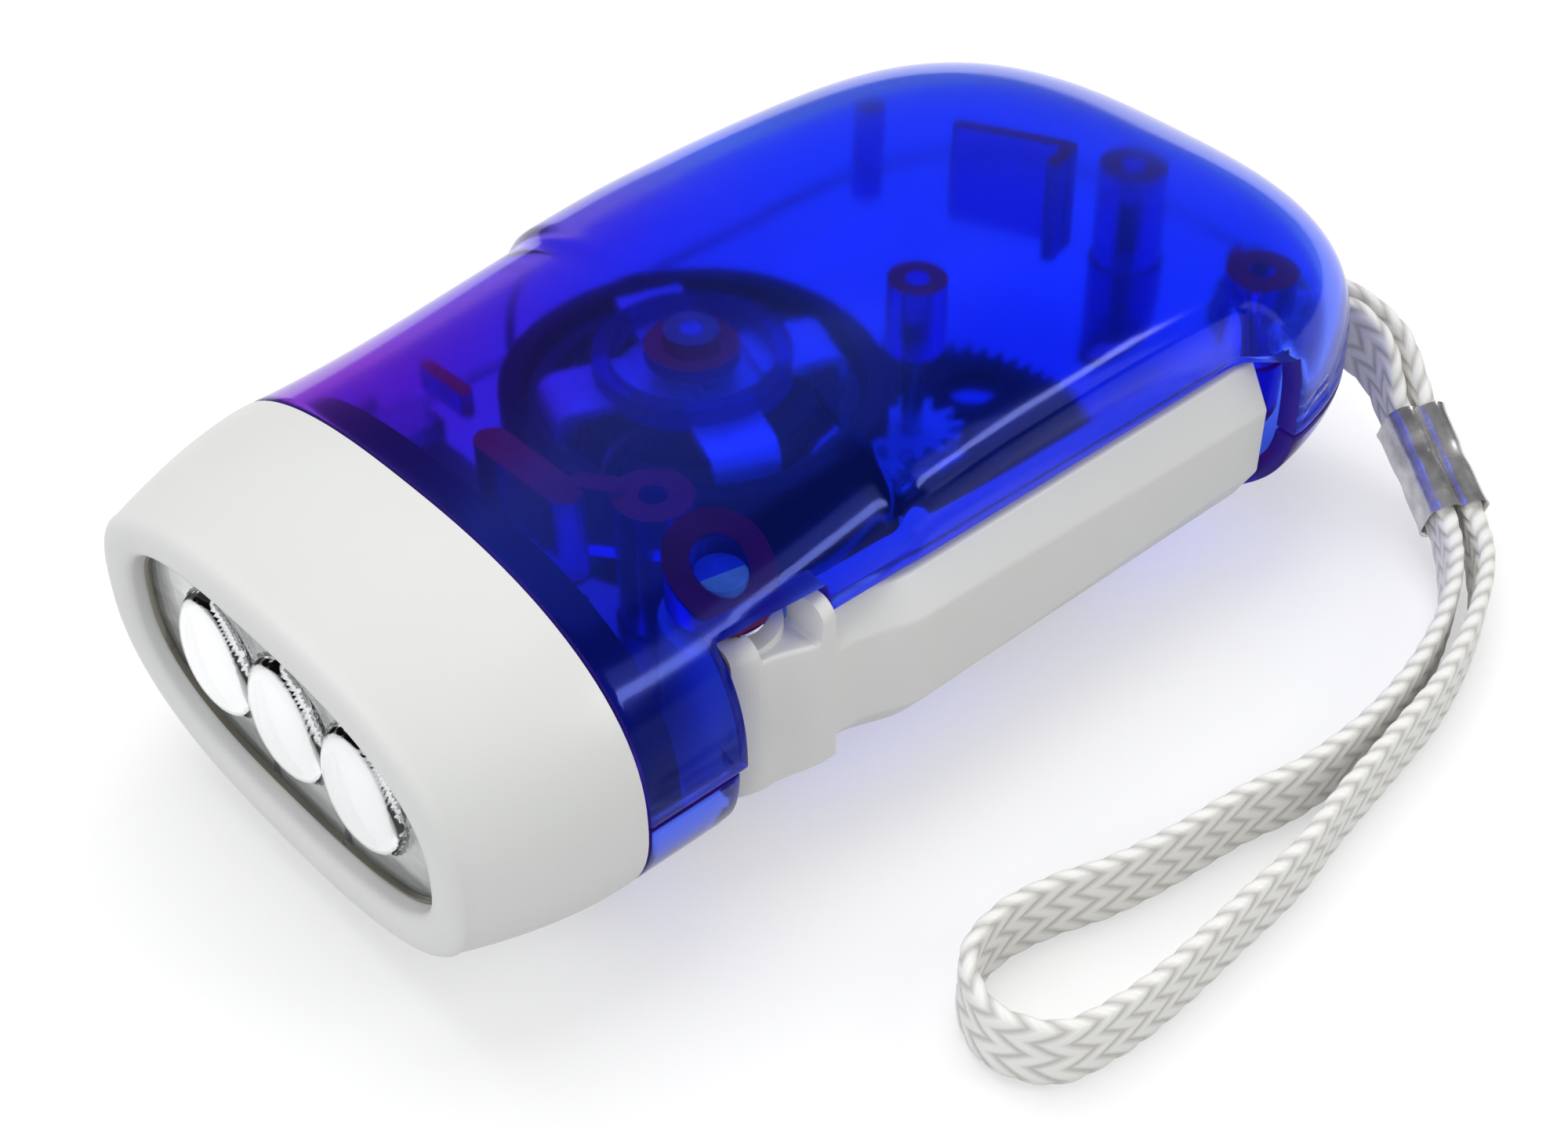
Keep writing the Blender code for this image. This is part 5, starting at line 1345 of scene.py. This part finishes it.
ridgePlaces = (-33.5, -32.5, -31.5, -30.5, -29.5)
slideButton = {
    "made": ("paleGrey", "switch_button", "grey_plastic", ["slide_button"]),
    "blocks": (
        ((-28.7, -35.0, seamZ - 2.4), (-27.3, -28.0, seamZ + 2.4), 0.35, 3),
        ((-28.2, -33.1, seamZ - 1.1), (-24.7, -29.9, seamZ + 1.1)),
        *(((-28.95, y - 0.25, seamZ - 1.9), (-28.5, y + 0.25, seamZ + 1.9), 0.12) for y in ridgePlaces),
    ),
}
makePlain("slideButton", slideButton)

# Generator

generator = {
    "rotorRadius": 16.4, "rotorRim": 2.0, "rotorZ": 12.6, "rotorTop": 22.9, "floorThickness": 1.8,
    "clawHalf": 3.0,
    "clawArm": (
        # reach from the axis, fall and share of the width along one arm
        (5.0, 0.0, 1.0), (8.0, 0.0, 1.0), (11.0, 0.0, 1.0), (11.45, 0.06, 0.98), (11.8, 0.22, 0.96),
        (12.0, 0.5, 0.95), (12.08, 0.9, 0.93), (12.1, 2.4, 0.88), (12.1, 4.6, 0.82),
    ),
    "claws": (
        # name, lower side, which plate, angle of the first arm and node
        ("clawPlateUpper", 22.4, True, -21.0, "stator_upper_plate"),
        ("clawPlateLower", 15.0, False, 24.0, "stator_lower_plate"),
    ),
    "plate": 0.8, "discRadius": 6.4, "boreRadius": 1.95, "windingLow": 17.05, "windingHigh": 21.15,
    "windingInner": 3.7, "windingOuter": 9.45, "windingBulge": 0.14, "windingLayers": 11,
}


def turnedAtRotor(name, profile, steps, coat, body, slotName, node, sharp):
    bm = bmesh.new()
    turnProfile(bm, (*rotorPlace, 0.0), profile, steps)
    finishPiece(name, bm, [coat], body, slotName, [node], sharp)


def makeFlywheel():
    g = generator
    low, top, radius = g["rotorZ"], g["rotorTop"], g["rotorRadius"]
    floor = low + g["floorThickness"]
    inside = radius - g["rotorRim"]
    profile = (
        (2.3, floor), (9.0, floor), (9.3, floor + 0.15), (inside - 0.6, floor + 0.15), (inside, floor + 0.7),
        (inside, top - 0.15), (inside + 0.15, top), (radius - 0.25, top), (radius, top - 0.25),
        (radius, low + 0.35), (radius - 0.35, low), (2.2, low), (2.2, 9.7), (1.05, 9.7), (1.05, floor),
    )
    turnedAtRotor("flywheelCup", profile, 96, "blackPlastic", "rotor", "black_plastic", "flywheel", 30.0)


def makeWinding():
    g = generator
    layers = g["windingLayers"]
    low, high = g["windingLow"], g["windingHigh"]
    outer = []
    for index in range(layers * 4 + 1):
        share = index / (layers * 4)
        bulge = g["windingBulge"] * abs(math.sin(math.pi * share * layers))
        outer.append((g["windingOuter"] + bulge, blendOf(high, low, share)))
    profile = (*outer, (g["windingInner"], low), (g["windingInner"], high))
    turnedAtRotor("coilWinding", profile, 72, "copperWire", "housing", "copper", "coil_winding", 50.0)


# Disc with four arms, each a strip that bends at its end: down in the upper plate, up in the lower
def makeClaws(name, low, upper, startDeg, node):
    g = generator
    top = low + g["plate"]
    radius, bore = g["discRadius"], g["boreRadius"]
    bm = bmesh.new()
    disc = ((radius, top - 0.1), (radius - 0.1, top), (bore, top), (bore, low), (radius, low))
    turnProfile(bm, (*rotorPlace, 0.0), disc, 64)

    def place(column, row):
        run, fall, share = g["clawArm"][row]
        width = g["clawHalf"] * share
        return run, blendOf(-width, width, column / 6), top - fall if upper else low + fall

    for index in range(4):
        before = set(bm.verts)
        faces = list(facesOf(mappedSheet(bm, 6, len(g["clawArm"]) - 1, place)))
        bmesh.ops.recalc_face_normals(bm, faces=faces)
        bmesh.ops.solidify(bm, geom=faces, thickness=g["plate"] * mm * 0.98)
        strip = [vert for vert in bm.verts if vert not in before]
        turn = Matrix.Rotation(math.radians(startDeg + 90 * index), 4, "Z")
        turn = Matrix.Translation(Vector((*rotorPlace, 0.0)) * mm) @ turn
        bmesh.ops.transform(bm, matrix=turn, verts=strip)
    finishPiece(name, bm, ["clawSteel"], "housing", "plate_steel", [node], 35.0)


makeFlywheel()
for claw in generator["claws"]:
    makeClaws(*claw)
makeWinding()
print("generator made")

# Button cells with their crimped edges

cells = {
    "startX": -12.0, "pitch": 5.7,
    "axis": (-34.2, 10.1),  # y and z of the row's middle line
    "cap": 4.7,
    "profile": (
        (0.0, 0.0), (4.6, 0.0), (4.8, 0.12), (5.2, 0.12), (5.6, 0.35), (5.8, 0.9),
        (5.8, 4.5), (5.6, 5.05), (5.2, 5.28), (4.8, 5.28), (4.6, 5.4), (0.0, 5.4),
    ),
}


def makeCells():
    for index in range(3):
        bm = bmesh.new()
        turnProfile(bm, (0.0, 0.0, 0.0), cells["profile"], 56, closed=False)
        for face in bm.faces:
            middle = face.calc_center_median()
            if math.hypot(middle.x, middle.y) < cells["cap"] * mm:
                face.material_index = 1
        start = Vector((cells["startX"] + index * cells["pitch"], *cells["axis"])) * mm
        turn = Matrix.Translation(start) @ Matrix.Rotation(math.pi / 2, 4, "Y")
        bmesh.ops.transform(bm, matrix=turn, verts=bm.verts)
        name, node = f"chargeCell{index + 1}", f"charge_cell_{index + 1}"
        finishPiece(name, bm, ["cellWrap", "brightSteel"], "housing", "cell_wrap", [node])


makeCells()

# Boards, with a chip, two resistors and solder joints on the circuit board

circuitBoard = {
    "made": ("boardGreen", "housing", "board_green", ["circuit_board"]),
    "blocks": (((-16.0, -39.8, 18.7), (5.4, -28.6, 19.7), 0.12, 1),),
}
lampBoard = {
    "made": ("boardGreen", "housing", "board_green", ["lamp_board"]),
    "blocks": (((-17.5, -44.8, seamZ - 5.2), (17.5, -43.8, seamZ + 5.2), 0.12, 1),),
}
boardChips = {
    "made": ("blackPlastic", "housing", "black_plastic"),
    "blocks": (
        ((-13.5, -36.2, 19.7), (-9.0, -32.4, 21.1), 0.12),
        ((-3.4, -34.0, 19.7), (-1.6, -32.8, 20.4), 0.08),
        ((0.2, -37.0, 19.7), (1.6, -34.2, 20.5), 0.08),
    ),
}
solderJoints = {
    "made": ("brightSteel", "housing", "steel"),
    "profile": ((0.0, 0.35), (0.3, 0.28), (0.6, 0.0), (0.0, 0.0)),
    "places": (
        (-7.0, -38.4, 19.68), (-3.0, -38.4, 19.68), (-0.4, -29.4, 19.68), (1.2, -29.4, 19.68),
        (-13.0, -37.4, 19.68), (-11.2, -37.4, 19.68), (-9.4, -37.4, 19.68),
    ),
    "steps": 16, "sharp": 50.0,
}
makePlain("circuitBoard", circuitBoard)
makePlain("lampBoard", lampBoard)
makePlain("boardChips", boardChips)
makePlain("solderJoints", solderJoints)

# CAD nodes that keep their shape get their own finish

carried = {
    "brightSteel": (
        "return_spring", "drive_gear_shaft", "rotor_shaft", "stator_core", "strap_bar",
        "case_screw_1", "case_screw_2", "case_screw_3", "slide_switch",
    ),
    "nylonWhite": ("ratchet_pawl", "drive_pinion"),
    "brassTurned": ("rotor_pinion", "upper_bush", "lower_bush"),
    "blackPlastic": ("coil_lead_right", "lamp_lead_right", "drive_gear", "coil_bobbin"),
    "magnetBlack": ("magnet_ring",),
    "redWire": ("coil_lead_left", "lamp_lead_left"),
}
for coat, names in carried.items():
    for name in names:
        for materialSlot in nodes[name].material_slots:
            materialSlot.material = finishes[coat]
print("inner pieces finished")

# Floor and light

studio = {
    "floorColour": (0.6, 0.6, 0.6),
    "floorLift": 0.455,
    "floorSize": (3.0, 3.0),
    "floorPlace": (0.0, 0.0, -0.0002),
    "world": 0.46,
    "white": (1.0, 1.0, 1.0, 1.0),
    "lamps": (
        # place, size, power and colour; the last one is only mirrored
        ((-0.25, 0.1, 0.75), (0.7, 0.7), 3.7, (1.0, 1.0, 1.0)),
        ((0.55, 0.38, 0.42), (0.25, 0.6), 1.0, (1.0, 1.0, 1.0)),
        ((0.15, -0.75, 0.35), (0.6, 0.4), 1.9, (0.92, 0.94, 1.0)),
        ((0.45, 0.33, 0.47), (0.46, 0.08), 2.2, (1.0, 1.0, 1.0)),
    ),
    "lampAim": (0, 0, 0.02),
    "mirroredLamps": (1, 3),  # only these leave a highlight on glossy surfaces
    "mirrorOnly": 3,
    "cards": (
        # place, size and tilt of the black cards, which only glossy surfaces mirror
        ((0.0, 0.4, 0.9), (5.2, 5.2), (0, 0, 0)),
        ((-0.75, 0.4, 0.2), (2.4, 0.46), (90, 0, 62)),
        ((0.35, 0.75, 0.24), (1.3, 0.5), (90, 0, -20)),
    ),
    "cardColour": (0.08, 0.08, 0.085),
}


# 1 for what camera, glossy and transmission rays see, 0 for the light itself
def seenRays(tree):
    path = addNode(tree, "ShaderNodeLightPath").outputs
    first = mathNode(tree, "MAXIMUM", path["Is Camera Ray"], path["Is Glossy Ray"])
    return mathNode(tree, "MAXIMUM", first, path["Is Transmission Ray"])


def plainSheet(name, place, size, tilt, coat):
    bm = bmesh.new()
    bmesh.ops.create_grid(bm, x_segments=1, y_segments=1, size=0.5)
    bmesh.ops.scale(bm, vec=(*size, 1.0), verts=bm.verts)
    made = objectFrom(name, bm)
    made.location = place
    made.rotation_euler = [math.radians(angle) for angle in tilt]
    made.data.materials.append(finishes[coat])
    return made


# Pale floor; what is seen of it is lifted to the white of the backdrop
def makeFloor():
    tree, shader = newFinish("floorWhite", studio["floorColour"], 0.9)
    shader["Emission Color"].default_value = studio["white"]
    lift = mathNode(tree, "MULTIPLY", seenRays(tree), studio["floorLift"])
    tree.links.new(lift, shader["Emission Strength"])
    floor = plainSheet("floor", studio["floorPlace"], studio["floorSize"], (0, 0, 0), "floorWhite")


def makeLamps():
    aim = Vector(studio["lampAim"])
    for index, (place, size, power, colour) in enumerate(studio["lamps"]):
        data = bpy.data.lights.new(f"softbox{index}", "AREA")
        data.shape = "RECTANGLE"
        data.size, data.size_y = size
        data.energy = power
        data.color = colour
        lamp = bpy.data.objects.new(f"softbox{index}", data)
        lamp.location = place
        lamp.visible_glossy = index in studio["mirroredLamps"]
        lamp.visible_diffuse = lamp.visible_transmission = index != studio["mirrorOnly"]
        lamp.rotation_euler = (aim - Vector(place)).to_track_quat("-Z", "Y").to_euler()
        scene.collection.objects.link(lamp)


def makeCards():
    newFinish("cardBlack", studio["cardColour"], 0.9)
    for index, (place, size, tilt) in enumerate(studio["cards"]):
        card = plainSheet(f"blackCard{index}", place, size, tilt, "cardBlack")
        card.visible_camera = card.visible_diffuse = False
        card.visible_shadow = card.visible_transmission = False


def makeWorld():
    world = bpy.data.worlds.new("paleStudio")
    world.use_nodes = True
    tree = world.node_tree
    tree.nodes.clear()
    lights = {0: seenRays(tree)}
    for index, strength in enumerate((studio["world"], 1.0)):
        inputs = {"Color": studio["white"], "Strength": strength}
        lights[index + 1] = addNode(tree, "ShaderNodeBackground", inputs).outputs[0]
    mixed = addNode(tree, "ShaderNodeMixShader", lights).outputs[0]
    addNode(tree, "ShaderNodeOutputWorld", {"Surface": mixed})
    scene.world = world


makeFloor()
makeLamps()
makeCards()
makeWorld()
scene.view_settings.view_transform = "Standard"
print("studio set")
